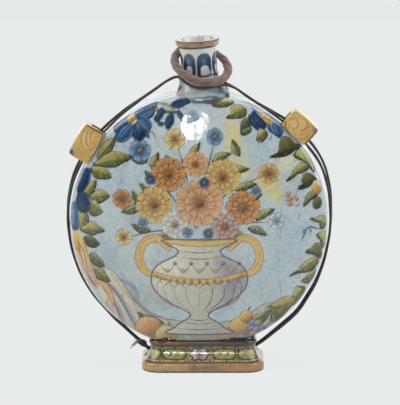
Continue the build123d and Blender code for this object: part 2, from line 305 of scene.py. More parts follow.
def leaf(canvas, base, tip, width, bend=0.0, look="olive", veins=3, line=0.7):
    base, tip = np.array(base, float), np.array(tip, float)
    along = tip - base
    length = np.hypot(*along)
    side = np.array([-along[1], along[0]]) / length
    t = np.linspace(0, 1, 7)
    mid = base + along * t[:, None] + side * (bend * length * 4 * t * (1 - t))[:, None]
    spread = side * (width / 2 * np.sin(np.pi * t ** 0.85) ** 0.9)[:, None]
    points = [tip] + list((mid + spread)[-2:0:-1]) + [base] + list((mid - spread)[1:-1])
    leafShape(canvas, points, look, veins, line)


# Reach and share of a step round the flower, for each point of a petal
petalSpots = ((0.16, 0), (0.6, -0.5), (0.93, -0.42), (1.0, -0.14), (0.95, 0), (1.02, 0.15), (0.94, 0.42), (0.6, 0.5))


def blossom(canvas, centre, radius, look, petals, layers, heart, turn=0.0, line=0.55):
    light, _, shade, ink = leafLooks[look]
    step = fullTurn / petals
    for layer in range(layers):
        for k in range(petals):
            a = math.radians(turn) + (k + 0.5 * layer) * step
            size = radius * (1 - 0.36 * layer)
            points = [centre + polar(size * reach, a + share * step) for reach, share in petalSpots]
            fillShape(canvas, points, shade, light, way=polar(1, a), streaks=0.3)
            inkLine(canvas, points, line, ink, closed=True)
    ring = arc(centre, (0.2 * radius, 0.2 * radius), roundAngles(8))
    fillShape(canvas, ring, heart, "umber")
    inkLine(canvas, ring, 0.5, "umber", closed=True)


def fruit(canvas, centre, radii, look="peach", turn=0.0, line=0.6):
    light, body, shade, ink = leafLooks[look]
    c, s = math.cos(math.radians(turn)), math.sin(math.radians(turn))
    ring = np.array(arc((0, 0), radii, roundAngles(12))) @ ((c, s), (-s, c))
    fillShape(canvas, centre + ring, light, shade)
    fillShape(canvas, centre + 0.5 * ring + (-0.18 * radii[0], 0.2 * radii[1]), light, body, strength=0.6, soft=1.5)
    inkLine(canvas, centre + ring, line, ink, closed=True)


# Garland under the ridge: leaves, bells and fruit, each row a look and its outline
garland = {
    "petals": [
        ("blue", -74.2, 82, -76.9, 88.2, -72.4, 95.5, -63.5, 99.1, -60.8, 94.6, -67.1, 90.1),
        ("blue", -59, 96.4, -54.5, 104.6, -46.4, 110.9, -38.4, 111.8, -38.4, 104.7, -44.7, 100.2, -51.8, 96.6),
        ("blue", -57.2, 96.4, -51.8, 101.8, -45.6, 105.5, -40.2, 105.5, -40.2, 99.5, -43.8, 96, -50.9, 94.9),
        ("deep", -59, 88.7, -52.7, 92.3, -47.3, 88.1, -47.3, 82.1, -50.9, 76.7, -56.3, 76.6, -59.9, 80.8),
        ("blue", -55.4, 94.8, -48.2, 95.9, -42.9, 92.5, -42.9, 87.4, -46.4, 82.9, -50.9, 88),
        ("blue", -75.1, 77.7, -73.3, 83, -67.1, 89.2, -61.7, 92, -59, 87.8, -59.9, 80.8, -65.3, 75.4, -71.5, 74.3),
        ("deep", 47.4, 101, 53.6, 100.9, 59, 95.5, 60.8, 90.3, 58.1, 86.1, 52.7, 88.8, 49.2, 95),
        ("blue", 59, 100.9, 66.1, 104.6, 73.3, 98.2, 75.1, 92.8, 68.9, 95.5, 63.5, 97.3),
        ("blue", 61.7, 88.6, 64.4, 94.6, 68.8, 96.4, 73.3, 91, 75.2, 83.7, 72.4, 77.8, 67.1, 81.5, 62.6, 85.1),
    ],
    "leaves": [
        ("olive", -75.1, 77.7, -80.5, 76.6, -86.8, 71, -91.3, 62.1, -90.4, 56.8, -84.1, 60.7, -78.7, 66.2, -76, 72.4),
        ("yellow", -60.8, 60.7, -65.2, 64.1, -75.1, 66.3, -83.2, 63.3, -90.4, 57.7, -94.9, 53.1, -86.8, 52.6, -76,
         52.2, -67, 57),
        ("olive", -78.7, 43.2, -81.4, 49.3, -85.9, 51.8, -93.1, 52.3, -96.8, 50.3, -95, 45.1, -92.3, 41.7, -85, 41.2),
        ("olive", -92.3, 39, -96.8, 37.9, -101.3, 33.1, -103.1, 27.7, -100.4, 25.1, -95.9, 27.2, -93.2, 32.7),
        ("olive", -80.6, 26.2, -84.2, 30.5, -89.6, 32, -95, 28.1, -97.7, 24.4, -93.2, 21, -88.7, 19.5, -84.2, 22.4),
        ("olive", -86.9, 11.4, -89.6, 17.6, -93.2, 21.9, -96.8, 20.8, -98.7, 16.2, -98.7, 10.8, -95.1, 7.4, -90.5,
         8.5),
        ("yellow", -104.2, -6, -99.6, 1.6, -99.6, 8, -103.2, 10.5, -107.7, 8.4, -108.7, 1, -107.8, -4.4),
        ("yellow", -85.2, -5.8, -90.6, -0.6, -96, 2.7, -101.4, -0.3, -106.9, -5.3, -101.5, -8.6, -95.2, -10.1, -90.6,
         -7.9),
        ("dark", -89.8, -18.1, -92.5, -13.6, -97.9, -11.1, -103.3, -12.4, -101.6, -18.8, -97.1, -21.3, -92.5, -21),
        ("sage", -85.4, -38.4, -86.3, -33.7, -89.9, -30.2, -94.4, -25.8, -98, -27.9, -99, -32.6, -95.4, -36.2, -90.8,
         -38.7),
        ("olive", -80.1, -52.3, -82.8, -46.7, -86.3, -41.3, -92.7, -38.8, -99, -37.3, -97.3, -45.7, -91.9, -50.1,
         -85.5, -52.6),
        ("yellow", 11.6, 107.6, 16.1, 110.9, 24.1, 113.6, 31.3, 110.9, 27.7, 107.4, 22.3, 105.8, 17, 105.8),
        ("olive", 25, 96.3, 28.6, 100.5, 28.6, 104.8, 33.1, 108.2, 38.4, 107.3, 42, 102.9, 41.1, 97.7, 34.8, 96.1),
        ("dark", 37.5, 84, 37.5, 91.8, 41.1, 96, 45.6, 95.1, 46.5, 89, 42, 87.4),
        ("sage", 37.5, 82.3, 40.2, 86.6, 46.5, 88.1, 45.6, 83.8, 41.1, 81.3),
        ("olive", 51.8, 76.7, 52.7, 83.6, 57.2, 86.1, 60.8, 82.5, 59.9, 78.2, 55.4, 74.9),
        ("dark", 64.4, 61.5, 70.6, 64.7, 71.5, 71.7, 74.2, 78.6, 79.6, 78.3, 85.9, 72.8, 92.2, 70.1, 85.9, 66.7, 79.6,
         62.6, 72.4, 61.2),
        ("olive", 85, 62.4, 88.6, 66.6, 93.1, 67.3, 97.6, 65.5, 100.3, 60.1, 104, 51.9, 103.1, 46.4, 97.7, 52.9, 93.1,
         57.6, 87.7, 59.6),
        ("olive", 78.7, 39.7, 82.3, 44.9, 85.9, 50.9, 90.4, 55.1, 95.9, 54.8, 98.6, 50.2, 93.2, 47, 86.8, 45.5, 83.2,
         42.1),
        ("dark", 89.6, 32, 92.3, 36.3, 92.3, 41.7, 95, 46, 100.4, 44.8, 105.8, 39.1, 101.3, 36.7, 97.7, 33.4),
        ("sage", 94.1, 16.5, 95, 23.6, 97.7, 28, 102.2, 29.5, 106.8, 26.5, 101.3, 22.4, 97.7, 19.9),
        ("olive", 100.5, 4.3, 106, 5.8, 109.6, 7.3, 114.1, 5.3, 114.2, -2.1, 109.7, -5.5, 107.8, 1.1),
        ("olive", 106.1, -10.8, 109.7, -8.3, 114.2, -7.6, 115.2, -19.5, 110.7, -22.3, 108.8, -14.7),
        ("dark", 96.2, -25.9, 101.6, -21.6, 105.2, -18.1, 109.8, -20.3, 110.7, -31.5, 106.2, -31.3, 102.6, -28.2),
        ("yellow", 81.9, -47.6, 87.3, -43.2, 93.6, -37, 99, -32.6, 106.2, -31.3, 107.2, -36.1, 102.7, -42.3, 96.3,
         -44.7, 89.1, -45.2),
        ("yellow", 92.8, -53.1, 96.4, -48.5, 100.9, -44.1, 105.4, -43.4, 103.6, -49.9, 98.3, -55.4),
        ("olive", 94.7, -59, 90.1, -57.7, 87.4, -58.5, 84.7, -65.1, 83, -73.7, 86.6, -75.7, 91.1, -70.2, 94.7, -63.7),
        ("yellow", 62.2, -76.5, 68.5, -71.9, 75.7, -67.4, 82, -66.8, 87.5, -71.1, 82.1, -77.6, 75.9, -85.9, 70.5,
         -90.5, 65, -89.4, 65.8, -81.5),
        ("olive", -20.5, 100.7, -27.7, 103.1, -34.8, 103.9, -41.1, 105.5, -37.5, 102.1, -29.5, 101.4),
    ],
    "blueLeaves": [
        ("deep", -107.7, 26.5, -109.5, 31.8, -106.7, 40.9, -104, 49.1, -97.7, 49.4, -97.7, 40.5, -102.2, 31.3),
        ("deep", -107.7, 11.1, -110.4, 18.2, -108.6, 26.4, -103.1, 28.6, -99.5, 24.3, -97.7, 17.2, -100.5, 10.7),
        ("blue", -111.5, -8.4, -115.1, -1.2, -115.9, 8, -114.9, 18.1, -110.4, 18.2, -108.7, 9.2, -107.8, -1.7),
        ("deep", -25.9, 106.6, -20.5, 111.8, -13.4, 114.5, -7.1, 115.4, -6.2, 111, -11.6, 107.6, -18.7, 105),
        ("deep", 51.8, 85.4, 45.6, 92.5, 44.7, 98.5, 49.2, 98.4, 51.8, 92.3, 53.6, 87.9),
        ("deep", -15.2, 93, -18.7, 99, -19.6, 102.4, -17, 102.4, -13.4, 97.3),
    ],
    "bells": [
        ("deep", -40.2, 95.2, -35.7, 102.1, -32.2, 104.8, -30.4, 102.2, -33.9, 96.2, -36.6, 91.8),
        ("deep", -29.5, 87.6, -30.4, 92.8, -26.8, 99.7, -24.1, 102.3, -22.3, 96.3, -23.2, 91.2, -26.8, 86.8),
        ("deep", -36.6, 90.1, -34.8, 92.7, -31.2, 91.9, -33, 89.3),
        ("pale", -12.5, 100.7, -7.1, 103.3, -1.8, 102.5, -4.5, 99, -9.8, 98.2),
        ("pale", -13.4, 96.4, -7.1, 97.3, -0.9, 99.9, 0, 95.6, -6.2, 93, -11.6, 93),
    ],
    "grapes": [77, 27.3, 80.6, 28, 84.2, 26, 86.9, 23.2, 77.9, 23.6, 81.5, 23.5, 85.1, 19.7, 81.5, 19, 87.8, 18.6],
}


def paintGarland(canvas):
    for look, *points in garland["petals"]:
        petal(canvas, points, look)
    for look, *points in garland["leaves"]:
        leafShape(canvas, points, look)
    for look, *points in garland["blueLeaves"]:
        petal(canvas, points, look)
    for look, *points in garland["bells"]:
        petal(canvas, points, look, 0.7 if look == "deep" else 0.5, look == "deep")
    # Yellow hearts, stems and tendrils
    fruit(canvas, (-60.8, 95.5), (4.6, 3.4), "lemon", 35)
    fillShape(canvas, [51.8, 100.9, 58.1, 100.9, 63.5, 96.4, 66.2, 91, 61.7, 90.3, 56.3, 95.6], "lemon", "ochre")
    inkLine(canvas, [52.7, 100, 59, 95.5, 64.4, 90.2], 0.6, "ochreDark")
    for spot in ((56.3, 100), (59.9, 98.2), (62.6, 94.6), (58.1, 96.4)):
        fruit(canvas, spot, (1.3, 1.1), "ochre", line=0.4)
    fillShape(canvas, [-56.3, 90.5, -52.7, 92.3, -51.8, 85.4, -55.4, 84.4], "sage", "cobalt", strength=0.55, soft=1.5)
    stem = [-41.1, 109.1, -32.2, 109.1, -25.9, 105.7, -19.6, 100.7]
    brushStroke(canvas, stem, 1.9, "moss", "olive", (0.3, 0.3), edge="pine")
    for width, colour, *points in (
            (0.7, "navy", -33, 95.3, -29.5, 95.4, -25, 98), (0.7, "oliveDark", -18.7, 104.1, -13.4, 104.1, -8, 105.9),
            (1.4, "olive", -45.5, 84.7, -42, 83.9, -39.3, 80.5, -38.4, 77)):
        inkLine(canvas, points, width, colour)
    petal(canvas, [-47.3, 83.8, -44.6, 83, -44.6, 78.6, -47.3, 79.5], "blue", 0.5, False)
    for width, colour, *points in (
            (1.4, "cobalt", 45.6, 106.4, 50.1, 102.7, 56.3, 99.1), (1.2, "olive", 61.7, 76.4, 64.4, 78.1, 65.3, 80.6),
            (1.2, "cobaltLight", 52.7, 71.5, 53.6, 74.1, 56.3, 75.7), (1.5, "pine", 85.5, -53.6, 84.6, -54.5),
            (0.5, "oliveDark", 93.2, 43.4, 90.5, 38.2, 87.8, 30.3, 86.9, 25),
            (1.3, "pine", 87.4, -56.6, 91, -58.7, 94.7, -59), (0.9, "oliveDark", 90.5, 11.2, 89.7, 7.7, 88.8, 4.1)):
        inkLine(canvas, points, width, colour)
    inkLine(canvas, [81.9, -47.6, 87.3, -44.2, 93.6, -44.6, 99.1, -44], 1.5, "pine", (0.6, 0.2))
    # Ochre scroll, ribbon and fruit
    scroll = [-113.3, -7.6, -107.8, -8.1, -104.3, -14.3, -99.8, -24.3, -98.1, -35.4, -93.6, -47.4, -90.1, -58.6,
              -93.8, -60.8, -100.9, -50.8, -108.1, -36.1, -113.4, -18.6]
    fillShape(canvas, scroll, "ochreLight", "rose", way=(0.3, -1))
    for points in ([-108.8, -11, -107.9, -18.3, -103.4, -25.4, -101.7, -35.6, -99.1, -44],
                   [-112.4, -12.2, -110.7, -21.3, -106.2, -30.3, -103.6, -39.6],
                   [-110.6, -15.7, -107.9, -21.1, -107.1, -25.7, -109.8, -21.2],
                   [-105.2, -15.3, -101.6, -22.5, -99.8, -30.8]):
        inkLine(canvas, points, 1.1, "ochreDark")
    inkLine(canvas, [-101.8, -43.2, -97.3, -52.4, -91.9, -59.7], 1.0, "plum")
    ribbon = [-91.9, -53, -86.5, -55.5, -82, -61, -79.3, -67.6, -77.6, -75.3]
    brushStroke(canvas, ribbon, 5.4, "peach", "apricot", (0.55, 0.25), edge="brown")
    brushStroke(canvas, [-82.1, -68.8, -83, -74.7, -78.5, -79.3, -75.8, -83.1], 3.6, "rose", "creamShade")
    fruit(canvas, (105.8, 32.9), (4.6, 6.4), "lemon", 10)
    fruit(canvas, (105.9, 18.5), (4.2, 5.6), "dark", -8)
    for points in ([91.6, -15.4, 94.3, -10, 96.9, -4.6, 100.6, -3], [96, -3.7, 100.6, -3, 104.2, -4.2, 108.7, -5.4],
                   [95.1, -6.4, 93.3, -4.4], [99.7, -3.9, 100.6, -8.6], [96.1, -8.3, 92.4, -7.1]):
        inkLine(canvas, points, 1.7, "cobalt")
    for k, spot in enumerate(pairs(garland["grapes"])):
        fruit(canvas, spot, (2.4, 2.2), ("cream", "rose")[k % 2], line=0.45)


# Middle of the front: a footed urn of flowers and fruit, the profile as height and half width
urn = {"at": 2.0, "place": (-2, -6), "size": 1.15, "beads": 8, "gadroons": 4.6,
       "profile": [-5, 26, -9, 24, -13, 17, -18, 19, -26, 33, -36, 37.5, -46, 35, -56, 24, -63, 11, -67, 7, -70, 9,
                   -73, 14, -78, 20, -83, 24]}


def paintHoop(canvas, points, width, ends=(0.9, 0.9)):
    brushStroke(canvas, points, width, "ochreLight", "ochre", ends, edge="brown")


def paintUrn(canvas):
    x, profile = urn["at"], pairs(urn["profile"])
    middle = np.array((x, 0))
    wash(canvas, (x - 4, -88), (58, 9), "sage", 0.55)
    wash(canvas, (x + 22, -84), (34, 6), "violet", 0.4)
    for turn in (-1, 1):
        arms = middle + pairs([24, -12, 33, -4, 43, -8, 47, -20, 42, -31, 33, -33]) * (turn, 1)
        paintHoop(canvas, arms, 6.2, (0.7, 0.7))
        inkLine(canvas, arms + (0, 0.8), 0.7, "ochreDark")
        inkLine(canvas, middle + pairs([26, -12, 22, -9, 23, -5, 27, -6, 27, -9]) * (turn, 1), 1.0, "brown")
    body = [(x + w, z) for z, w in profile] + [(x - w, z) for z, w in profile[::-1]]
    outline = fillShape(canvas, body, "cream", "creamShade", way=(0.95, -0.35), streaks=0.05)
    fillShape(canvas, middle + pairs([14, -20, 31, -27, 35, -37, 31, -48, 18, -60, 20, -44]), "violet", "violet",
              strength=0.8, soft=5)
    fillShape(canvas, middle + pairs([-30, -30, -22, -24, -12, -30, -20, -44, -29, -42]), "white", "cream",
              strength=0.6, soft=4)

    def onBelly(k):
        a = k / urn["gadroons"]
        return x + 36.5 * math.sin(a * 1.35), -41 - 4 * math.cos(a * 1.5)

    # Gadroons round its lower half, with a bead band and a garland over them
    for k in range(-4, 5):
        a = k / urn["gadroons"]
        rib = [onBelly(k), (x + 31 * math.sin(a * 1.35), -55), (x + 8 * math.sin(a * 1.3), -65)]
        inkLine(canvas, rib, 0.8, "violet" if k < 1 else "plum", (0.8, 0.3))
        if k < 4:
            b = (k + 0.5) / urn["gadroons"]
            cap = (x + 35.5 * math.sin(b * 1.35), -36.8 - 4 * math.cos(b * 1.5))
            inkLine(canvas, [onBelly(k), cap, onBelly(k + 1)], 0.8, "plum")
    paintHoop(canvas, middle + pairs([-35.5, -33, -18, -37.5, 0, -39, 18, -37.5, 35.5, -33]), 4.4)
    for k in range(-urn["beads"], urn["beads"] + 1):
        a = k / urn["beads"] * 1.4
        fruit(canvas, (x + 34.5 * math.sin(a), -33.6 - 5.4 * math.cos(a)), (1.3, 1.2), "rust", line=0.4)
    for k in range(-2, 3):
        spot = x + 12.5 * k
        inkLine(canvas, [spot - 6, -24, spot - 3, -29, spot, -30.5, spot + 3, -29, spot + 6, -24], 1.0, "olive")
        fruit(canvas, (spot, -30.2), (1.9, 1.7), "peach", line=0.4)
        fruit(canvas, (spot + 6, -24), (1.4, 1.4), "blue", line=0.4)
    for points in ([-20, -18, -9, -20, 0, -20.5, 9, -20, 20, -18], [-17, -13.5, 0, -15.5, 17, -13.5]):
        inkLine(canvas, middle + pairs(points), 0.8, "plum")
    paintHoop(canvas, middle + pairs([-26, -5.5, -12, -7.5, 0, -8, 12, -7.5, 26, -5.5]), 4.6)
    for z, w in ((-70, 9), (-73, 14), (-78, 20)):
        inkLine(canvas, [x - w, z, x, z - 1.6, x + w, z], 0.8, "plum")
    inkLine(canvas, outline[::2], 1.15, "plum", closed=True)


bouquet = {
    "stems": ([0, 4, -20, 30, -44, 62], [0, 8, -8, 44, -16, 72], [6, 8, 22, 30, 54, 46], [-6, 4, -30, 14, -56, 26],
              [10, 4, 34, 8, 60, 8], [2, 6, 8, 46, 14, 74], [-4, 2, -30, 2, -54, -4]),
    # Root and tip of each leaf
    "leaves": {
        "olive": [-26, 40, -40, 48, -34, 50, -30, 62, 26, 48, 40, 50, 33, 60, 28, 72, -12, 52, -24, 60, 12, 56, 26, 62,
                  -36, 18, -50, 32, 36, 20, 50, 30, 46, 10, 60, 18, -20, 2, -36, -6, -4, 58, 2, 70, 30, 34, 46, 38,
                  -28, 30, -44, 38],
        "yellow": [-38, 56, -52, 60, -44, 22, -58, 16, 24, 2, 38, -5], "sage": [-36, 2, -50, 6, 40, 4, 54, -2]},
    # Place, radius, look, petals, layers, heart and turn
    "flowers": (((-44, 64), 8.5, "blue", 6, 1, "ochre", 10), ((-17, 73), 8, "lemon", 7, 1, "rust", 20),
                ((14, 75), 6.5, "blue", 5, 1, "ochre", 0), ((56, 46), 8, "ochre", 8, 1, "rust", 0),
                ((-58, 26), 7.5, "rust", 7, 1, "ochreDark", 5), ((62, 9), 6.5, "pale", 6, 1, "ochre", 12),
                ((-57, -4), 6.5, "lemon", 6, 1, "rust", 12), ((-22, 46), 13.5, "rust", 9, 3, "ochreDark", 8),
                ((20, 44), 14, "ochre", 10, 3, "rust", 0), ((-1, 54), 10, "peach", 7, 2, "ochreDark", 14),
                ((-33, 22), 14.5, "ochre", 10, 3, "rust", 4), ((36, 20), 13.5, "rust", 9, 3, "ochreDark", 12),
                ((-17, 7), 10.5, "cream", 7, 2, "ochre", 0), ((22, 5), 10.5, "rose", 7, 2, "ochreDark", 9),
                ((2, 24), 18.5, "peach", 10, 4, "rust", 6)),
    "small": {"blue": [-7, 1, -42, 8, 46, 33], "deep": [9, 0, -36, 42, 6, 40]},
}


def paintBouquet(canvas):
    for points in bouquet["stems"]:
        inkLine(canvas, points, 1.1, "oliveDark", (0.9, 0.4))
    for look, ends in bouquet["leaves"].items():
        for root, tip in np.reshape(ends, (-1, 2, 2)):
            leaf(canvas, root, tip, 6.2, 0.08, look)
    for flower in bouquet["flowers"]:
        blossom(canvas, *flower)
    for look, spots in bouquet["small"].items():
        for spot in pairs(spots):
            blossom(canvas, spot, 4.2, look, 5, 1, "lemon", 18, 0.4)


table = {
    "cloth": [-80, -36, -70, -30, -60, -38, -50, -54, -36, -66, -14, -72, 14, -74, 38, -68, 54, -58, 66, -60, 64, -76,
              44, -92, 0, -98, -42, -94, -66, -74],
    "folds": ([-78, -36, -66, -46, -56, -62, -46, -84], [-68, -32, -58, -46, -46, -62, -34, -88],
              [-54, -46, -42, -62, -28, -72, -20, -92], [-74, -46, -64, -60, -58, -78], [-32, -68, -14, -78, -6, -94],
              [58, -60, 46, -72, 26, -80, 8, -94], [64, -64, 56, -76, 42, -88], [40, -68, 28, -74, 18, -86],
              [-62, -37, -52, -42, -47, -52], [-24, -70, -22, -78, -30, -90]),
    "grapes": [44, -74, 48, -75, 43, -79, 47, -80, 51, -79, 44, -84, 48, -85, 51, -84],
}


def paintTable(canvas):
    # A cloth thrown over the table, with fruit by the urn's foot
    fillShape(canvas, table["cloth"], "cream", "creamShade", way=(0.35, -1), streaks=0.12, soft=1.2)
    for k, points in enumerate(table["folds"]):
        tone = ("violet", "lemon", "greyBlue")[k % 3]
        brushStroke(canvas, pairs(points) + (1.6, -1.4), 4.6, tone, "creamShade", (0.3, 0.5), 0.85)
        inkLine(canvas, points, 0.8, "violet" if k % 3 else "plum")
    inkLine(canvas, table["cloth"][:20], 0.8, "plum")
    leaf(canvas, (-26, -74), (-46, -66), 8, 0.1, "sage")
    leaf(canvas, (34, -76), (58, -64), 9, -0.1, "olive")
    leaf(canvas, (30, -80), (56, -82), 9, 0.1, "dark")
    fruit(canvas, (-38, -78), (10.5, 9.5), "peach")
    inkLine(canvas, [-39, -69, -36, -76, -37, -84], 0.7, "rust")
    fruit(canvas, (-24, -84), (8.5, 8), "lemon")
    fruit(canvas, (35, -78), (10, 9.2), "ochre")
    fruit(canvas, (39, -69), (5.4, 5.6), "ochre")
    inkLine(canvas, [40, -64, 42, -60], 1.1, "umber")
    fruit(canvas, (24, -86), (7.5, 7), "peach")
    for k, spot in enumerate(pairs(table["grapes"])):
        fruit(canvas, spot, (2.9, 2.8), ("blueGrape", "violetGrape")[k % 2], line=0.4)


# Fine lines and a vine on the side wall, where the canvas goes on past the ridge
wall = {"lines": ((123.5, "oliveDark", 0.7), (126.5, "cobalt", 0.8), (133.5, "cobalt", 0.9), (138.6, "olive", 0.8)),
        "vine": 129.6, "leaves": 40, "looks": ("olive", "blue", "yellow", "dark", "olive", "sage")}


def paintSide(canvas):
    for radius, colour, width in wall["lines"]:
        inkLine(canvas, arc((0, 0), (radius, radius), roundAngles(48)), width, colour, closed=True)
    vine = [polar(wall["vine"] + 1.6 * math.sin(20 * a), a) for a in roundAngles(160)]
    inkLine(canvas, vine, 0.8, "oliveDark", closed=True)
    for k in range(wall["leaves"]):
        a = fullTurn * (k + 0.3 * math.sin(k * 2.4)) / wall["leaves"]
        b = a + 0.1 + 0.02 * math.sin(k)
        root, tip = polar(129 + 1.5 * math.sin(k * 1.7), a), polar(130 + 3.5 * math.cos(k * 2.9), b)
        leaf(canvas, root, tip, 6.4, 0.1, wall["looks"][k % 6], 2, 0.6)


front = {
    # Broad washes of the ground: bluer to the lower left, milky above, yellow cloud at the upper right
    "washes": (((-60, -10), (46, 60), "mist", 0.45, 10), ((5.4, 90.4), (34, 22), "milk", 0.5),
               ((40, -30), (44, 50), "mist", 0.3, -15), ((-20, 76), (36, 18), "milk", 0.35, 20),
               ((31.2, 77.2), (11, 27), "lemon", 1.0, 8), ((38.4, 50.8), (12, 10), "lemon", 0.9, -30),
               ((76.9, 53.9), (22, 15), "cream", 0.9, 12), ((65.3, 32.2), (17, 12), "lemon", 1.0, -35),
               ((56.3, 41.4), (12, 10), "ochreLight", 0.7), ((81.4, 66.9), (15, 12), "milk", 0.5),
               ((-71.1, -60.4), (16, 26), "mist", 0.5, 20), ((81.7, -23.2), (18, 40), "mist", 0.35),
               ((-44.1, -68.9), (32, 16), "creamShade", 0.5, 20), ((-52.9, -21.9), (22, 34), "milk", 0.6, -14),
               ((45.7, -12.4), (26, 30), "milk", 0.45), ((-75.2, 9.3), (16, 30), "milk", 0.4)),
    "strokes": 70,
    "hairlines": ([-79.6, 53.8, -72.4, 49.7, -65.2, 51.8], [-77.8, 39.7, -72.4, 37.3, -67.1, 39.3],
                  [-70.6, 71.7, -61.7, 73.8, -52.7, 72.3], [72.5, 18.5, 73.5, 3, 72.6, -13.5],
                  [78.8, 15.5, 79.8, -2.8, 78.1, -23], [69.2, -41.3, 72.9, -54.8, 73.9, -70.2],
                  [-81.6, -13.9, -78.1, -24.8, -78.2, -38],
                  [-71.8, -33.9, -69.2, -46, -63.9, -58.2], [39.3, 77, 37.5, 68.4, 42, 59.5]),
}


def paintFront(canvas):
    for row in front["washes"]:
        wash(canvas, *row)
    for k in range(front["strokes"]):
        spot = 13 * math.sqrt(k + 1) * np.array((math.sin(k * 2.39), math.cos(k * 2.39)))
        along = polar(11, 0.7 * math.sin(k * 1.3) + 1.1)
        tone, strength = (("mist", 0.32), ("milk", 0.3), ("greyBlue", 0.16))[k % 3]
        stroke = [spot - along, spot + (2.5 * math.sin(k), -1.5), spot + along]
        brushStroke(canvas, stroke, 5.5 + 2 * math.sin(k * 3.7), tone, "ground", strength=strength)
    for k, points in enumerate(front["hairlines"]):
        inkLine(canvas, points, 0.8, ("mist", "greyBlue")[k % 2])
    middle = dict(canvas, at=(canvas["at"] - urn["place"]) / urn["size"])
    paintBouquet(middle)
    paintTable(middle)
    paintUrn(middle)
    paintGarland(canvas)
    paintSide(canvas)
    # A milky ring over the ridge's crest: a painted highlight along the ridge
    tint(canvas, np.clip(1 - abs(np.hypot(*canvas["at"].T) - 115.5) / 2.6, 0, 1) * 0.25, "milk")


back = {
    "washes": (((0, 30), (70, 50), "milk", 0.4), ((-40, -40), (50, 40), "mist", 0.4),
               ((36, 46), (30, 16), "lemon", 0.6, 20), ((-30, 62), (26, 12), "lemon", 0.5, -10)),
    "hills": (("greyBlue", "mist", -84, -12, -64, 6, -46, 14, -28, 4, -10, 10, 8, 0, 20, -16, 0, -26, -60, -28),
              ("mist", "sage", 0, -14, 20, -2, 40, 8, 58, 2, 82, -12, 76, -30, 20, -26),
              ("sage", "moss", -88, -24, -60, -18, -20, -26, 24, -20, 62, -26, 86, -22, 78, -52, 40, -72, 0, -84,
               -44, -72, -76, -50),
              ("moss", "olive", -74, -52, -40, -46, 0, -54, 40, -48, 70, -54, 52, -72, 20, -84, -18, -84, -52, -72)),
    "tufts": 46, "trees": ((-40, -44, 1.35), (44, -40, 1.05), (60, -46, 0.7), (-64, -36, 0.6)), "treeLeaves": 22,
    "leaves": 84, "looks": ("olive", "yellow", "olive", "dark", "sage"), "flowers": 12, "reach": 101,
}


def paintTree(canvas, x, z, size):
    inkLine(canvas, [x, z, x + 1.5, z + 20 * size, x - 2, z + 44 * size], 3.0 * size, "brown", (1, 0.4))
    inkLine(canvas, [x + 1, z + 22 * size, x + 9 * size, z + 36 * size], 1.6 * size, "brown", (1, 0.4))
    for k in range(back["treeLeaves"]):
        a = k * 2.4
        spot = (x, z + 46 * size) + polar(4.0 * size * math.sqrt(k + 0.5), a, (1.1, 0.75))
        out = size * (polar(1, a, (7, 5.5)) - (0, 2))
        leaf(canvas, spot - 0.25 * out, spot + out, 5.6 * size, 0.1, ("olive", "yellow", "dark")[k % 3], 2, 0.55)


def paintBack(canvas):
    for row in back["washes"]:
        wash(canvas, *row)
    # Hills, a field and four trees in the middle
    for colour, shade, *points in back["hills"]:
        outline = fillShape(canvas, points, colour, shade, way=(0.2, -1), strength=0.8, streaks=0.3, soft=1.0)
        inkLine(canvas, outline[:len(outline) // 2:2], 0.9, "plum")
    for k in range(back["tufts"]):
        z = -30 - 46 * ((k * 0.618) % 1)
        x = 74 * math.sin(k * 2.39) * math.sqrt(max(0.1, 1 - ((z + 20) / 76) ** 2))
        tone = ("oliveDark", "oliveLight", "ochre")[k % 3]
        brushStroke(canvas, [x - 6, z, x, z + 1.2, x + 6, z - 0.6], 1.8, tone, strength=0.5)
    for tree in back["trees"]:
        paintTree(canvas, *tree)
    # Garland, with flowers and fruit between the leaves
    for k in range(back["leaves"]):
        a = fullTurn * (k + 0.25 * math.sin(k * 3.1)) / back["leaves"]
        reach = back["reach"] + 3 * math.sin(k * 1.9)
        tip = polar(reach + (-15, 9, -8)[k % 3], a + (0.13 if k % 2 else -0.13))
        leaf(canvas, polar(reach, a), tip, 8.4, 0.1, back["looks"][k % 5])
    for k in range(back["flowers"]):
        spot = polar(back["reach"], fullTurn * (k + 0.5) / back["flowers"])
        if k % 3 == 0:
            blossom(canvas, spot, 12.5, "blue", 5, 1, "lemon", 30 * k)
        elif k % 3 == 1:
            fruit(canvas, spot, (6.6, 6), "lemon")
            fruit(canvas, spot + (7, -5), (4.2, 4), "peach")
        else:
            blossom(canvas, spot, 8.6, ("ochre", "rust")[k % 2], 7, 2, "ochreDark", 11 * k)
    paintSide(canvas)


# Materials
def startMaterial(name, **sockets):
    material = bpy.data.materials.new(name)
    material.use_nodes = True
    shader = material.node_tree.nodes["Principled BSDF"]
    for key, value in sockets.items():
        shader.inputs[key.replace("_", " ")].default_value = value
    return material, material.node_tree, shader


def addNode(tree, kind, sockets=None, **settings):
    node = tree.nodes.new("ShaderNode" + kind)
    for key, value in settings.items():
        setattr(node, key, value)
    for key, value in (sockets or {}).items():
        if isinstance(value, bpy.types.NodeSocket):
            tree.links.new(value, node.inputs[key])
        else:
            node.inputs[key].default_value = value
    return node


def mixColour(tree, share, first, second, blend="MIX"):
    pair = [value if isinstance(value, bpy.types.NodeSocket) else (*linear(value), 1) for value in (first, second)]
    return addNode(tree, "Mix", {0: share, 6: pair[0], 7: pair[1]}, data_type="RGBA", blend_type=blend).outputs[2]


def ramp(tree, value, low, high, out=(0.0, 1.0)):
    sockets = {"Value": value, "From Min": low, "From Max": high, "To Min": out[0], "To Max": out[1]}
    return addNode(tree, "MapRange", sockets, interpolation_type="SMOOTHSTEP").outputs[0]


def noise(tree, at, scale, detail=4, roughness=0.55):
    sockets = {"Vector": at, "Scale": scale, "Detail": detail, "Roughness": roughness}
    return addNode(tree, "TexNoise", sockets).outputs[0]


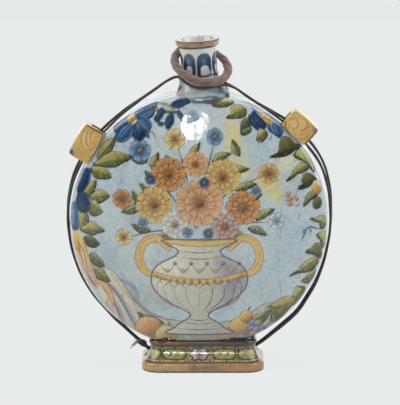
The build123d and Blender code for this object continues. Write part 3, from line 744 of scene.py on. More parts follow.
def maths(tree, operation, *values):
    return addNode(tree, "Math", dict(enumerate(values)), operation=operation).outputs[0]


def attribute(tree, name, output="Fac"):
    return addNode(tree, "Attribute", attribute_name=name).outputs[output]


def objectPlace(tree):
    return addNode(tree, "TexCoord").outputs["Object"]


def finishMaterial(tree, shader, colour, rough, relief):
    tree.links.new(colour, shader.inputs["Base Color"])
    if rough:
        tree.links.new(rough, shader.inputs["Roughness"])
    strength, distance, height = relief
    bump = addNode(tree, "Bump", {"Strength": strength, "Distance": distance, "Height": height}).outputs[0]
    tree.links.new(bump, shader.inputs["Normal"])


def paintedGlaze(name, rough=0.055, cloud=0.1, crackle=0.1, specks=0.35, bump=0.25):
    material, tree, shader = startMaterial(name, Coat_Weight=0.3, Coat_Roughness=0.04, IOR=1.5)
    place = objectPlace(tree)
    paint, inkPaint = attribute(tree, "paint", "Color"), attribute(tree, "inkPaint", "Color")
    fine, broad, grit = noise(tree, place, 620, 3), noise(tree, place, 26, 4), noise(tree, place, 210, 3)
    # Brushed colour, thicker and thinner
    pooled = mixColour(tree, ramp(tree, fine, 0.3, 0.75, (0.0, 0.22)), paint, (70, 76, 84), "MULTIPLY")
    pooled = mixColour(tree, ramp(tree, broad, 0.35, 0.7, (0.0, cloud * 3)), pooled, (206, 208, 200), "MULTIPLY")
    pooled = mixColour(tree, ramp(tree, grit, 0.45, 0.75, (0.0, cloud * 1.6)), pooled, (120, 132, 146), "MULTIPLY")
    # The ink's edge wavers a little, and the ink is worn in places
    edge = maths(tree, "MULTIPLY_ADD", maths(tree, "SUBTRACT", fine, 0.5), 0.9, attribute(tree, "ink"))
    inkMask = ramp(tree, edge, -0.22, 0.26, (0.94, 0.0))
    worn = maths(tree, "MULTIPLY", inkMask, ramp(tree, grit, 0.2, 0.5, (0.72, 1.0)))
    colour = mixColour(tree, worn, pooled, inkPaint)
    # Fine crackle and a few kiln specks
    cells = addNode(tree, "TexVoronoi", {"Vector": place, "Scale": 150}, feature="DISTANCE_TO_EDGE").outputs["Distance"]
    colour = mixColour(tree, ramp(tree, cells, 0.0, 0.035, (crackle, 0.0)), colour, (120, 100, 80), "MULTIPLY")
    spot = addNode(tree, "TexVoronoi", {"Vector": place, "Scale": 95}).outputs["Distance"]
    rare = ramp(tree, noise(tree, place, 60, 2), 0.6, 0.66)
    dots = maths(tree, "MULTIPLY", ramp(tree, spot, 0.05, 0.11, (specks, 0.0)), rare)
    colour = mixColour(tree, dots, colour, (92, 66, 46))
    ripple = maths(tree, "MULTIPLY_ADD", noise(tree, place, 85, 2), 1.5, inkMask)
    height = maths(tree, "MULTIPLY_ADD", broad, 3.0, ripple)
    finishMaterial(tree, shader, colour, ramp(tree, grit, 0.3, 0.7, (rough * 0.8, rough * 1.5)), (bump, 0.0004, height))
    return material


def fibres(tree, around, alongScale, aroundScale):
    # Long fibres: stretched along the cord's own length and drawn round it
    along = maths(tree, "MULTIPLY", attribute(tree, "along"), alongScale)
    return addNode(tree, "CombineXYZ", {"X": along, "Y": maths(tree, "MULTIPLY", around, aroundScale)}).outputs[0]


# From a bmesh to a piece of the part
def meshOf(bm, name):
    mesh = bpy.data.meshes.new(name)
    bm.to_mesh(mesh)
    bm.free()
    return mesh


def evaluated(obj):
    return bpy.data.meshes.new_from_object(obj.evaluated_get(bpy.context.evaluated_depsgraph_get()))


def finishPiece(mesh, name, material, body, nodes, sharp):
    if isinstance(mesh, bmesh.types.BMesh):
        mesh = meshOf(mesh, name)
    mesh.name = name
    mesh.materials.clear()
    mesh.materials.append(material)
    mesh.polygons.foreach_set("use_smooth", np.ones(len(mesh.polygons), bool))
    mesh.set_sharp_from_angle(angle=math.radians(sharp))
    obj = addObject(name, mesh)
    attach(obj, body)
    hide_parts(*nodes)
    print(f"{name}: {len(mesh.polygons)} faces")
    return obj


def meshPoints(mesh):
    spots = np.empty(len(mesh.vertices) * 3)
    mesh.vertices.foreach_get("co", spots)
    return spots.reshape(-1, 3) / mm


def keepPaint(mesh, canvas):
    for name in ("paint", "inkPaint"):
        solid = np.hstack([canvas[name], np.ones((len(canvas[name]), 1))])
        mesh.attributes.new(name, "FLOAT_COLOR", "POINT").data.foreach_set("color", solid.ravel())
    mesh.attributes.new("ink", "FLOAT", "POINT").data.foreach_set("value", canvas["ink"])


def uneven(x, y, z, size=0.3):
    # Slow hand-made wander of a thrown or pressed surface, in millimetres
    return size * (np.sin(x / 23 + 1.1) * np.cos(z / 31 + y / 40) + 0.5 * np.sin(z / 11 + x / 17) * np.cos(y / 13))


def growEdges(bm, edges):
    grown = bmesh.ops.extrude_edge_only(bm, edges=edges)["geom"]
    verts = [g for g in grown if isinstance(g, bmesh.types.BMVert)]
    fresh = set(verts)
    return verts, [g for g in grown if isinstance(g, bmesh.types.BMEdge) and fresh.issuperset(g.verts)]


# Body: the dome meets the round of its ridge at domeEdge, edgeTurn is the slope there
body = {"radius": 116.0, "rise": 20.5, "wallDepth": 24.0, "domeRise": 21.0, "round": 6.0, "roundCentre": (110.0, 19.81),
        "domeEdge": 112.03, "edgeTurn": 0.3463, "throat": (1.2, 12.4), "wallRows": 13, "pole": 39.4,
        "inside": [110.5, 0, 110.5, 5, 110.5, 10, 110.5, 16.8, 107, 22, 80, 31.2, 40, 37.6, 1, 39.4]}
bodyCentre = body["rise"] + body["radius"]
domeCurve = (body["radius"] ** 2 + body["domeRise"] ** 2) / (2 * body["domeRise"])


def domeDepth(reach):
    return body["wallDepth"] + body["domeRise"] - domeCurve + math.sqrt(domeCurve ** 2 - reach ** 2)


def bodyShape(name, side, cells):
    # A grid drawn round into a dish, then its rim drawn over the ridge, down the side and back inside
    edge, ridge = body["domeEdge"], body["roundCentre"][1]
    bm = bmesh.new()
    bmesh.ops.create_grid(bm, x_segments=cells, y_segments=cells, size=1.0)
    for v in bm.verts:
        u, w = max(-1, min(1, v.co.x)), max(-1, min(1, v.co.y))
        x, z = u * math.sqrt(1 - w * w / 2) * edge, w * math.sqrt(1 - u * u / 2) * edge
        v.co = (x, side * domeDepth(math.hypot(x, z)), z)
    rims = arc(body["roundCentre"], (body["round"], body["round"]), np.radians([61, 52, 43, 34, 25, 16, 8, 0]))
    rims += [(body["radius"], ridge * (1 - k / body["wallRows"])) for k in range(1, body["wallRows"] + 1)]
    edges = [e for e in bm.edges if e.is_boundary]
    for reach, depth in rims + list(pairs(body["inside"])):
        verts, edges = growEdges(bm, edges)
        for v in verts:
            a = math.atan2(v.co.z, v.co.x)
            v.co = (reach * math.cos(a), side * depth, reach * math.sin(a))
    bmesh.ops.pointmerge(bm, verts=verts, merge_co=(0, side * body["pole"], 0))
    # The throat is open under the neck
    centres = [(f, f.calc_center_median()) for f in bm.faces]
    throat = [f for f, c in centres if c.z > 100 and math.hypot(c.x - body["throat"][0], c.y) < body["throat"][1]]
    bmesh.ops.delete(bm, geom=throat, context="FACES")
    for v in bm.verts:
        out = uneven(*v.co)
        reach = math.hypot(v.co.x, v.co.z)
        if reach > 109 and abs(v.co.y) < 26:
            v.co.x *= 1 + out / 250
            v.co.z *= 1 + out / 250
        else:
            v.co.y += side * out * (1 - (reach / body["radius"]) ** 4)
    bmesh.ops.transform(bm, matrix=Matrix.Translation((0, 0, bodyCentre)), verts=bm.verts)
    bmesh.ops.scale(bm, vec=(mm, mm, mm), verts=bm.verts)
    bmesh.ops.recalc_face_normals(bm, faces=bm.faces)
    return meshOf(bm, name)


def bodyShell(name, side, cells, paintFace):
    mesh = bodyShape(name, side, cells)
    x, y, z = meshPoints(mesh).T
    y, z = abs(y), z - bodyCentre
    reach, edge, edgeTurn = np.hypot(x, z), body["domeEdge"], body["edgeTurn"]
    # Past the dome's edge the canvas runs on over the ridge and down the side wall
    middle, ridge = body["roundCentre"]
    turn = np.clip(np.arctan2(reach - middle, np.maximum(y - ridge, 1e-6)), edgeTurn, math.pi / 2) - edgeTurn
    past = np.where(reach > edge, body["round"] * np.where(y > ridge, turn, math.pi / 2 - edgeTurn), 0)
    past += np.maximum(ridge - y, 0) * (reach > 111)
    grown = np.where(reach > edge, (edge + past) / np.maximum(reach, 1), 1)
    canvas = newCanvas(np.stack([x * grown * -side, z * grown], 1))
    paintFace(canvas)
    keepPaint(mesh, canvas)
    return mesh


bodyGlaze = paintedGlaze("tinGlazeBody")
for name, side, cells, paintFace, panel in (("frontShell", -1, 236, paintFront, "front_panel"),
                                            ("backShell", 1, 190, paintBack, "back_panel")):
    shell = bodyShell(name, side, cells, paintFace)
    finishPiece(shell, name, bodyGlaze, "flask", [panel, "side_band"], 40)
print("body painted")


# Neck, foot and lugs start as a merged copy of their solid, evened out so that it takes paint
def clayCopy(node, voxel, smoothing):
    bm = bmesh.new()
    bm.from_mesh(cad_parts[node].data)
    bmesh.ops.remove_doubles(bm, verts=bm.verts, dist=1e-6)
    mesh = meshOf(bm, node + "Clay")
    mesh.materials.clear()
    clay = addObject(node + "Clay", mesh)
    even = clay.modifiers.new("even", "REMESH")
    even.mode = "VOXEL"
    even.voxel_size = voxel * mm
    soften = clay.modifiers.new("soften", "SMOOTH")
    soften.factor = 0.5
    soften.iterations = smoothing
    made = evaluated(clay)
    bpy.data.objects.remove(clay)
    return made


def wander(mesh, size):
    spots = meshPoints(mesh)
    x, y, z = spots.T
    push = np.stack([uneven(y, z, x, size), uneven(z, x, y, size) * 0.6, uneven(x, y, z, size) * 0.6], 1)
    push[:, 2] *= np.clip((z - 1) / 8, 0, 1)
    mesh.vertices.foreach_set("co", ((spots + push) * mm).ravel())
    mesh.update()


def paintBand(canvas, reach, low, high, colour, shade=None, way=(0.5, -0.85), streaks=0.1):
    band = [-reach, low, reach, low, reach, high, -reach, high]
    fillShape(canvas, band, colour, shade, way, smooth=False, streaks=streaks)


neck = {
    "shift": 1.2, "lean": 3.5, "tube": 17.3, "arches": 7, "firstArch": 19.5, "voxel": 0.62,
    # Skirt washes: milky in front, slate and dark olive low and to the right, partly the skirt's own paint and partly
    # painted light and shade
    "washes": (((-2, 5), (14, 9), "milk", 0.7), ((4, -10), (46, 9), "slate", 0.95),
               ((14, -4), (10, 8), "slate", 0.8, -30), ((24, -1), (12, 10), "oliveDark", 0.85),
               ((-17, 2), (8, 9), "rose", 0.5), ((-24, -2), (8, 8), "brown", 0.6)),
    "leaves": (((13, 8), (30, -5), 7, "dark"), ((24, 9), (40, 2), 6, "olive"), ((-17, 7), (-28, 1), 5, "dark"),
               ((-30, 9), (-45, 0), 6, "olive"), ((4, -16), (18, -6), 5, "sage")),
}


def paintArch(canvas, mid, half):
    arch = [(mid - half, 16)] + arc((mid, 29.5), (half, 6.6), np.linspace(math.pi, 0, 9)) + [(mid + half, 16)]
    fillShape(canvas, arch, "archBlue", "navy", way=(0.2, -1), smooth=False, streaks=0.35)
    inner = half - 3.1
    door = [(mid - inner, 15.5)] + arc((mid, 22), (inner, 3.4), np.linspace(math.pi, 0, 7)) + [(mid + inner, 15.5)]
    fillShape(canvas, door, "milk", "creamShade", smooth=False)
    for side in (-1, 1):
        post, vault = mid + side * (half - 1.2), mid + side * 2.4
        brushStroke(canvas, [post, 16, post + side * 0.2, 29], 2.4, "navy", "deepBlue", (0.9, 0.3))
        brushStroke(canvas, [vault, 26, vault - side * 0.4, 34], 2.0, "cobalt", "deepBlue", (0.3, 0.3), 0.75)
    brushStroke(canvas, [mid - 0.6, 25.5, mid - 0.4, 32], 2.3, "greyBlue", "cobalt", (0.3, 0.3), 0.6)
    arch[0], arch[-1] = (mid - half, 17), (mid + half, 17)
    inkLine(canvas, arch, 0.7, "navy", (1, 1), False)


def paintNeck(mesh):
    # The canvas is the neck rolled out, its inside above the outside
    spots = meshPoints(mesh) - (neck["shift"], 0, bodyCentre + body["radius"])
    lean = math.radians(neck["lean"])
    across = spots @ (math.cos(lean), 0, math.sin(lean))
    height = spots @ (-math.sin(lean), 0, math.cos(lean))
    inside = np.hypot(across, spots[:, 1]) < 14 + 3.5 * np.clip((height - 40) / 7, 0, 1)
    turn = np.arctan2(across, -spots[:, 1]) * neck["tube"]
    canvas = newCanvas(np.stack([turn, np.where(inside, 90 + height, height)], 1), "milk")
    degree = math.radians(neck["tube"])
    reach = 200 * degree
    paintBand(canvas, reach, -20, 14, "mist", "mist")
    # Inside the mouth: milk turning to creamShade deeper down, painted shade in the bore
    paintBand(canvas, reach, 70, 150, "milk", "creamShade")
    for row in neck["washes"]:
        wash(canvas, *row)
    for k in range(-4, 5):
        mid = (neck["firstArch"] + 360 / neck["arches"] * k) * degree
        paintArch(canvas, mid, 6.3 if k % 2 else 7.1)
        gap = mid + 180 / neck["arches"] * degree
        brushStroke(canvas, [gap, 16.5, gap, 30], 1.6, "cobaltLight", "mist", (0.8, 0.2), 0.8)
        inkLine(canvas, [gap + 0.9, 17, gap + 0.8, 29], 0.5, "cobalt")
    paintBand(canvas, reach, 14.6, 16.4, "navy")
    paintBand(canvas, reach, 41.7, 60, "bandBrown", "bandBrown", (0, -1))
    for z, width in ((41.5, 2.0), (47.2, 1.3)):
        inkLine(canvas, [-reach, z, reach, z], width, "umber", (1, 1))
    for k in range(16):
        x, z = -54 + 7 * k + 2 * math.sin(k * 2.3), 44.3 + 1.2 * math.sin(k * 1.7)
        brushStroke(canvas, [x, z, x + 3.8, z + 0.3], 1.9, ("brown", "rose", "umber")[k % 3], strength=0.6)
    # Leaves painted on the skirt, and its darker lower edge: partly the skirt's own dark paint, partly painted shade
    # where the skirt meets the body
    for root, tip, width, look in neck["leaves"]:
        leaf(canvas, root, tip, width, 0.1, look, 2)
    brushStroke(canvas, [-24, -10, -8, -11, 10, -10.5, 28, -6], 8.5, "slate", "slate", (0.4, 0.7), 0.9)
    inkLine(canvas, [-20, -12, -6, -12, 10, -11.5, 26, -9], 0.9, "navy")
    keepPaint(mesh, canvas)


neckMesh = clayCopy("neck", neck["voxel"], 3)
wander(neckMesh, 0.25)
paintNeck(neckMesh)
neckGlaze = paintedGlaze("tinGlazeNeck", 0.06, 0.08)
finishPiece(neckMesh, "thrownNeck", neckGlaze, "flask", ["neck"], 55)
print("neck painted")


foot = {
    "shift": 3.6, "halfLength": 49.6, "halfDepth": 29.95, "corner": 14.5, "voxel": 0.85, "step": 22.55, "first": -3.2,
    "reach": 150,
    "bands": ((-1, 9.4, "bandOrange", "bandBrown"), (9.2, 23.6, "footOlive", "moss"),
              (23.4, 27.3, "beadBrown", "umber"), (27.1, 31.6, "pine", "black"), (31.4, 60, "ground", "mist")),
    "washes": (((-34, 5), (24, 4), "ochreLight"), ((-8, 5), (5, 5), "brown", 0.75), ((6, 5), (14, 4), "olive"),
               ((34, 5), (16, 4), "apricot"), ((60, 5), (8, 5), "brown"), ((-60, 6), (8, 5), "umber"),
               ((100, 5), (16, 5), "olive", 0.4), ((-100, 5), (18, 5), "ochreLight"), ((-50, 17), (12, 6), "sage"),
               ((30, 17), (12, 6), "rose", 0.4), ((-2, 17), (10, 6), "rose"), ((-30, 26), (20, 2), "rust"),
               ((20, 26), (22, 2), "plum")),
}
footStraight, footDeep = foot["halfLength"] - foot["corner"], foot["halfDepth"] - foot["corner"]
footQuarter = foot["corner"] * math.pi / 2


def roundFoot(x, y):
    # The way round the foot from the middle of its front, in millimetres
    over, corner = abs(x), foot["corner"]
    front = np.where(over <= footStraight, over,
                     footStraight + corner * np.arctan2(over - footStraight, np.maximum(-y - footDeep, 1e-6)))
    side = footStraight + footQuarter + y + footDeep
    turned = footStraight + footQuarter + 2 * footDeep
    back = np.where(over > footStraight,
                    turned + corner * np.arctan2(np.maximum(y - footDeep, 0), np.maximum(over - footStraight, 1e-6)),
                    turned + footQuarter + footStraight - over)
    return np.sign(x) * np.where(y < -footDeep, front, np.where(y <= footDeep, side, back))


def paintFestoon(canvas, x, k):
    cup = arc((x, 23.2), (4.9, 5.2), np.linspace(math.pi, fullTurn, 8))
    fillShape(canvas, cup, "sage", "olive", smooth=False)
    inkLine(canvas, cup, 1.2, "pine", (1, 1))
    inkLine(canvas, [x - 2, 22.6, x, 20.6, x + 2, 22.6], 0.5, "oliveDark")
    hill = arc((x, 9.6), (4.6, 2.6), np.linspace(0, math.pi, 8))
    fillShape(canvas, hill, "rose" if k % 4 == 1 else "sage", "moss", smooth=False)
    inkLine(canvas, hill, 0.8, "plum" if k % 2 else "oliveDark", (1, 1))


def paintCapsule(canvas, x, k, z=16.2):
    # Every third one is a flower, the rest hold three beads
    if k % 3 == 0:
        lobes = [(x, z) + polar(1, a, (8.6 + 1.3 * math.cos(6 * a), 5.0 + 0.8 * math.cos(6 * a)))
                 for a in roundAngles(30)]
        fillShape(canvas, lobes, "milk", "rose")
        inkLine(canvas, lobes[::2], 1.2, "pine", closed=True)
        blossom(canvas, (x, z), 3.9, "rose", 5, 1, "rust", 18, 0.5)
    else:
        capsule = [spot for side, start in ((1, -90), (-1, 90))
                   for spot in arc((x + side * 6.5, z), (3.9, 4.3), np.radians(np.linspace(start, start + 180, 7)))]
        fillShape(canvas, capsule, "moss", "ochre", smooth=False)
        inkLine(canvas, capsule, 1.25, "oliveDark", closed=True, smooth=False)
        for bead in (-6.6, 0, 6.6):
            fruit(canvas, (x + bead, z), (2.9, 2.7), "beadGlaze", line=0.55)
    between = x + foot["step"] / 2
    for lift in (19.6, 12.8):
        fruit(canvas, (between, lift), (1.2, 1.0), "olive", line=0.4)
    inkLine(canvas, [between, 12, between, 20.6], 0.6, "oliveDark")


def paintFoot(mesh):
    x, y, z = meshPoints(mesh).T
    x, reach = x - foot["shift"], foot["reach"]
    # The hollow foot's inside drops below the bands and keeps the brown ground: painted shade in the hollow
    inner = (abs(x) < 43) & (abs(y) < 24.5) & (z < 22) & ((abs(y) > 6) | (abs(x) < 38))
    canvas = newCanvas(np.stack([roundFoot(x, y), np.where(inner, z - 80, z)], 1), "brown")
    for band in foot["bands"]:
        paintBand(canvas, reach, *band, (0, -1), 0.14)
    for row in foot["washes"]:
        wash(canvas, *row)
    for k in range(-13, 14):
        paintFestoon(canvas, foot["step"] / 2 * (k + 0.5) + foot["first"], k)
    for k in range(-7, 8):
        paintCapsule(canvas, foot["step"] * k + foot["first"], k)
    # Dark umber round the cord holes: painted shade in the holes
    for side in (-1, 1):
        wash(canvas, (side * (footStraight + footQuarter + footDeep), 16.5), (6.5, 6.0), "umber", 1.0)
    for z, width in ((9.4, 1.2), (23.4, 1.4), (0.2, 2.6)):
        inkLine(canvas, [-reach, z, reach, z], width, "umber", (1, 1))
    for k in range(26):
        x, z = -146 + 11.3 * k + 2 * math.sin(k * 2.3), 5 + 2.6 * math.sin(k * 1.7)
        tone = ("brown", "umber", "rust")[k % 3]
        brushStroke(canvas, [x, z, x + 1.5 + math.sin(k), z + 0.4], 1.1, tone, strength=0.6)
    keepPaint(mesh, canvas)


footMesh = clayCopy("foot", foot["voxel"], 2)
wander(footMesh, 0.3)
paintFoot(footMesh)
footGlaze = paintedGlaze("tinGlazeFoot", 0.09, 0.1, 0.12, 0.5)
finishPiece(footMesh, "mouldedFoot", footGlaze, "flask", ["foot"], 60)
print("foot painted")


# Lugs: scrolls as width and path, dark lines where the brush edged the lug, and a worn corner
lugs = {
    "lug_left": {
        "strokes": (
            (1.7, -102.9, 85.5, -105.6, 77.3, -104.8, 69.2, -101.2, 63.7, -96.7, 61, -92.2, 65.5, -88.6, 72.8),
            (1.5, -99.3, 84.6, -101.1, 77.3, -100.3, 71, -97.6, 67.3, -93.1, 69.2),
            (1.2, -95.7, 83.7, -97.5, 78.2, -95.8, 72.8, -93.1, 72.8),
            (1.4, -108.3, 73.7, -107.5, 66.4, -103.9, 60.1, -99.5, 56.4),
            (0.9, -93.1, 79.2, -89.5, 78.2),
            (0.9, -92.2, 75.5, -89.5, 73.7),
            (1.1, -111, 70.1, -109.3, 63.7, -105.7, 60.1),
            (0.9, -97.5, 86.4, -93, 83.7, -88.6, 81),
        ),
        "edges": ([-100.2, 89.1, -93.9, 85.5, -88.6, 82.8, -85.9, 80.1], [-85.9, 80.1, -90, 70.1, -95, 61, -99.9, 54.1],
                  [-110.2, 58.7, -104.8, 55.5, -100.4, 53.2]),
        "chip": (-115.1, 64.6)},
    "lug_right": {
        "strokes": (
            (1.4, 80.5, 93.7, 83.2, 95.5, 86.7, 94.6, 88.5, 91, 87.7, 87.3, 85, 86.4),
            (2.1, 93, 95.5, 95.7, 92.8, 96.6, 88.2, 93.9, 85.5, 90.4, 84.6),
            (1.7, 84.1, 87.3, 84.1, 82.8, 87.7, 78.2, 92.2, 77.3, 96.7, 79.2, 98.4, 83.7),
            (1.0, 86.8, 83.7, 90.4, 81, 94.9, 81.9),
            (0.9, 81.4, 90.1, 80.5, 85.5, 82.3, 81),
            (0.9, 87.6, 97.3, 91.2, 95.5),
            (1.1, 99.3, 90.1, 102, 85.5, 101.1, 81.9),
        ),
        "edges": ([77.4, 92.8, 77.4, 87.3, 81.4, 81, 85.9, 75.5, 90.4, 72.3, 94, 71.9, 96.7, 74.2, 100.2, 78.2,
                   104.7, 83.7],),
        "bare": [86.8, 75.5, 90.4, 73.7, 94.9, 73.7, 96.7, 72.8, 93.1, 71, 88.6, 71.9],
        "chip": (106, 85.5)},
}


def paintLug(mesh, lug):
    x, y, z = meshPoints(mesh).T
    canvas = newCanvas(np.stack([x, z - bodyCentre], 1), "ochre")
    middle = (canvas["at"].max(0) + canvas["at"].min(0)) / 2
    wash(canvas, middle + (-3, 4), (12, 10), "ochreLight", 1.0, 40)
    wash(canvas, middle + (6, -5), (8, 6), "apricot", 0.4, 30)
    for width, *points in lug["strokes"]:
        brushStroke(canvas, points, width * 1.5, "ochreDark", "ochre", (0.5, 0.3), 0.9)
        brushStroke(canvas, pairs(points) + (-0.9, 0.9), width * 0.7, "ochreLight", "ochreLight", (0.5, 0.3), 0.7)
    if "bare" in lug:
        fillShape(canvas, lug["bare"], "milk", "mist", soft=0.8)
    for points in lug["edges"]:
        inkLine(canvas, points, 1.3, "umber", (0.7, 0.7))
    wash(canvas, lug["chip"], (4.6, 4.6), "plum", 1.0)
    tint(canvas, np.clip((y + 25.4) / 2, 0, 1) * 0.4, "ochreDark")
    keepPaint(mesh, canvas)


lugGlaze = paintedGlaze("ochreGlaze", 0.12, 0.03, 0.08, 0.5, 0.35)
for node, name in (("lug_left", "pulledLugLeft"), ("lug_right", "pulledLugRight")):
    lugMesh = clayCopy(node, 0.5, 3)
    wander(lugMesh, 0.25)
    paintLug(lugMesh, lugs[node])
    finishPiece(lugMesh, name, lugGlaze, "flask", [node], 60)
print("lugs painted")


# Cord, knot and rope
def sweep(path, count, section):
    # A circle drawn along the path; section gives the radii at a share of the way and a turn
    bm = bmesh.new()
    around, along = [bm.verts.layers.float.new(name) for name in ("around", "along")]
    verts = bmesh.ops.create_circle(bm, cap_ends=False, segments=count, radius=1.0)["verts"]
    for v in verts:
        v[around] = math.atan2(v.co.y, v.co.x) / fullTurn % 1.0
    first = edges = list(bm.edges)
    spots = [Vector(p) for p in path]
    reach = [0.0]
    for a, b in zip(spots, spots[1:]):
        reach.append(reach[-1] + (b - a).length)
    up = Vector((0.13, 0.98, 0.1))
    for k, spot in enumerate(spots):
        way = (spots[min(k + 1, len(spots) - 1)] - spots[max(k - 1, 0)]).normalized()
        up = (up - way * up.dot(way)).normalized()
        right = way.cross(up)
        if k:
            verts, edges = growEdges(bm, edges)
        for v in verts:
            v[along] = reach[k]
            wide, tall = section(reach[k] / reach[-1], v[around])
            v.co = spot + right * wide * math.cos(fullTurn * v[around]) + up * tall * math.sin(fullTurn * v[around])
    for rim in (first, edges):
        bmesh.ops.contextual_create(bm, geom=rim)
    bmesh.ops.recalc_face_normals(bm, faces=bm.faces)
    return bm


def splineThrough(name, points, detail):
    curve = bpy.data.curves.new(name, "CURVE")
    curve.dimensions = "3D"
    curve.resolution_u = detail
    line = curve.splines.new("NURBS")
    line.points.add(len(points) - 1)
    for spot, point in zip(line.points, points):
        spot.co = (*[c * mm for c in point], 1)
    line.order_u = 3
    line.use_endpoint_u = True
    route = addObject(name, curve)
    made = evaluated(route)
    path = [v.co.copy() for v in made.vertices]
    bpy.data.objects.remove(route)
    bpy.data.meshes.remove(made)
    return path


def leather(name, dark, light, rough=0.42):
    material, tree, shader = startMaterial(name, Coat_Weight=0.1, Coat_Roughness=0.3, Sheen_Weight=0.15)
    place = objectPlace(tree)
    grain, patch = noise(tree, place, 900, 5), noise(tree, place, 75, 3)
    strand = noise(tree, fibres(tree, attribute(tree, "around"), 90.0, 22.0), 1.6, 4, 0.65)
    colour = mixColour(tree, ramp(tree, strand, 0.35, 0.72), dark, light)
    colour = mixColour(tree, ramp(tree, patch, 0.45, 0.7, (0.0, 0.6)), colour, light)
    colour = mixColour(tree, ramp(tree, grain, 0.3, 0.6, (0.45, 0.0)), colour, (20, 14, 12), "MULTIPLY")
    height = maths(tree, "MULTIPLY_ADD", strand, 0.6, grain)
    finishMaterial(tree, shader, colour, ramp(tree, grain, 0.2, 0.8, (rough, rough + 0.25)), (0.7, 0.0003, height))
    return material


cord = {
    "diameter": 2.4, "detail": 14,
    "front": [
        -54.3, -1.7, 22.8, -63.1, -1.7, 30.8, -78.9, -4.5, 45.8, -101.8, -6.0, 72.9, -116.2, -6.5, 107.5,
        -119.3, -9.5, 144.8, -112.9, -17.6, 176.5, -99.1, -19.6, 202.1, -81.0, -19.2, 223.4, -62.5, -13.0, 239.3,
        -44.0, -8.0, 252.0, -21.0, -12.5, 269.5, -14.0, -19.5, 264.5, -5.2, -23.8, 259.4, 6.6, -23.5, 258.4,
        26.6, -11.8, 261.6, 45.5, -8.0, 247.3, 62.0, -15.5, 237.4, 77.3, -19.9, 226.9, 96.3, -19.9, 207.8,
        110.2, -14.5, 187.9, 117.3, -7.0, 163.6, 119.4, -3.4, 136.5, 117.4, -2.2, 112.0, 110.0, -2.0, 84.8,
        101.6, -2.0, 67.4, 88.9, -1.9, 47.4, 71.2, -1.8, 33.0, 57.0, -1.7, 20.9, 44.5, -1.7, 14.6, 28.0, -1.7, 13.4,
        5.0, -1.7, 12.9, -18.0, -1.7, 12.0, -33.0, -1.7, 11.6, -42.75, -1.7, 12.3, -47.7, -1.7, 16.8
    ],
    "back": [
        -54.3, 1.7, 22.8, -63.1, 1.7, 30.8, -78.6, 2.8, 45.6, -101.4, 4.0, 73.1, -115.9, 3.5, 107.6,
        -119.3, -5.5, 144.8, -114.6, -14.6, 177.3, -101.2, -16.0, 203.6, -82.8, -15.8, 225.1, -62.8, -9.0, 239.9,
        -44.0, -1.5, 250.9, -22.0, 11.0, 265.0, -5.2, 23.3, 261.2, 7.6, 23.5, 260.2, 27.4, 13.4, 257.2,
        45.5, -3.0, 246.2, 62.2, -11.5, 237.6, 79.0, -16.2, 229.3, 97.4, -16.2, 212.6, 111.0, -12.0, 193.1,
        117.9, -3.0, 170.3, 119.9, -0.2, 144.0, 118.0, 1.6, 115.0, 110.4, 1.7, 86.2, 100.9, 1.7, 68.4,
        88.0, 1.7, 48.3, 70.6, 1.7, 33.8, 56.6, 1.7, 21.4, 44.5, 1.7, 14.8, 28.0, 1.7, 13.6, 5.0, 1.7, 13.1,
        -18.0, 1.7, 12.1, -33.0, 1.7, 11.7, -42.75, 1.7, 12.3, -47.7, 1.7, 16.8
    ],
    "lengths": {"front": 0.7694, "back": 0.7843}, "shift": {"front": 0.0, "back": 2.1},
}
cordLeather = leather("cordLeather", (18, 12, 11), (58, 40, 33))
for side in ("front", "back"):
    route = np.reshape(cord[side], (-1, 3)).tolist()
    line = splineThrough(side + "Route", route, cord["detail"])

    def thong(share, t, shift=cord["shift"][side]):
        width = 0.5 * cord["diameter"] * mm * (1 + 0.07 * math.sin(share * 190 + shift) + 0.05 * math.sin(share * 77))
        flat = 0.07 * math.cos(share * 31 + shift)
        return width * (1 + flat), width * (1 - flat)

    strand = sweep(line, 12, thong)
    piece = finishPiece(strand, "strand" + side.title(), cordLeather, "flask", ["cord_" + side], 60)
print("cords laid")


knot = {"from": (-46.6, 0, 15.9), "to": (-55.4, 0, 23.8), "radius": 2.1, "wrap": 0.95, "turns": 2.3, "coilSteps": 56,
        "hairs": 26, "hairLength": 7.4}
knotStart, knotEnd, yAxis = Vector(knot["from"]) * mm, Vector(knot["to"]) * mm, Vector((0, 1, 0))
knotWay = (knotEnd - knotStart).normalized()
knotUp = knotWay.cross(yAxis).normalized()


def knotLump(share, t):
    lump = 0.42 * math.sin(math.pi * share) ** 2 + 0.07 * math.sin(6 * math.pi * t + 14 * share)
    size = knot["radius"] * mm * (0.72 + lump)
    return size, size * 0.9


def coilSection(share, t):
    return (knot["wrap"] * mm * min(1, 0.4 + 6 * share, 0.4 + 6 * (1 - share)),) * 2


def hairSection(share, t):
    return ((0.42 - 0.24 * share) * mm,) * 2


def roundKnot(angle, reach):
    return (knotUp * math.cos(angle) + yAxis * math.sin(angle)) * reach * mm


def joinBmesh(target, source):
    made = meshOf(source, "joined")
    target.from_mesh(made)
    bpy.data.meshes.remove(made)


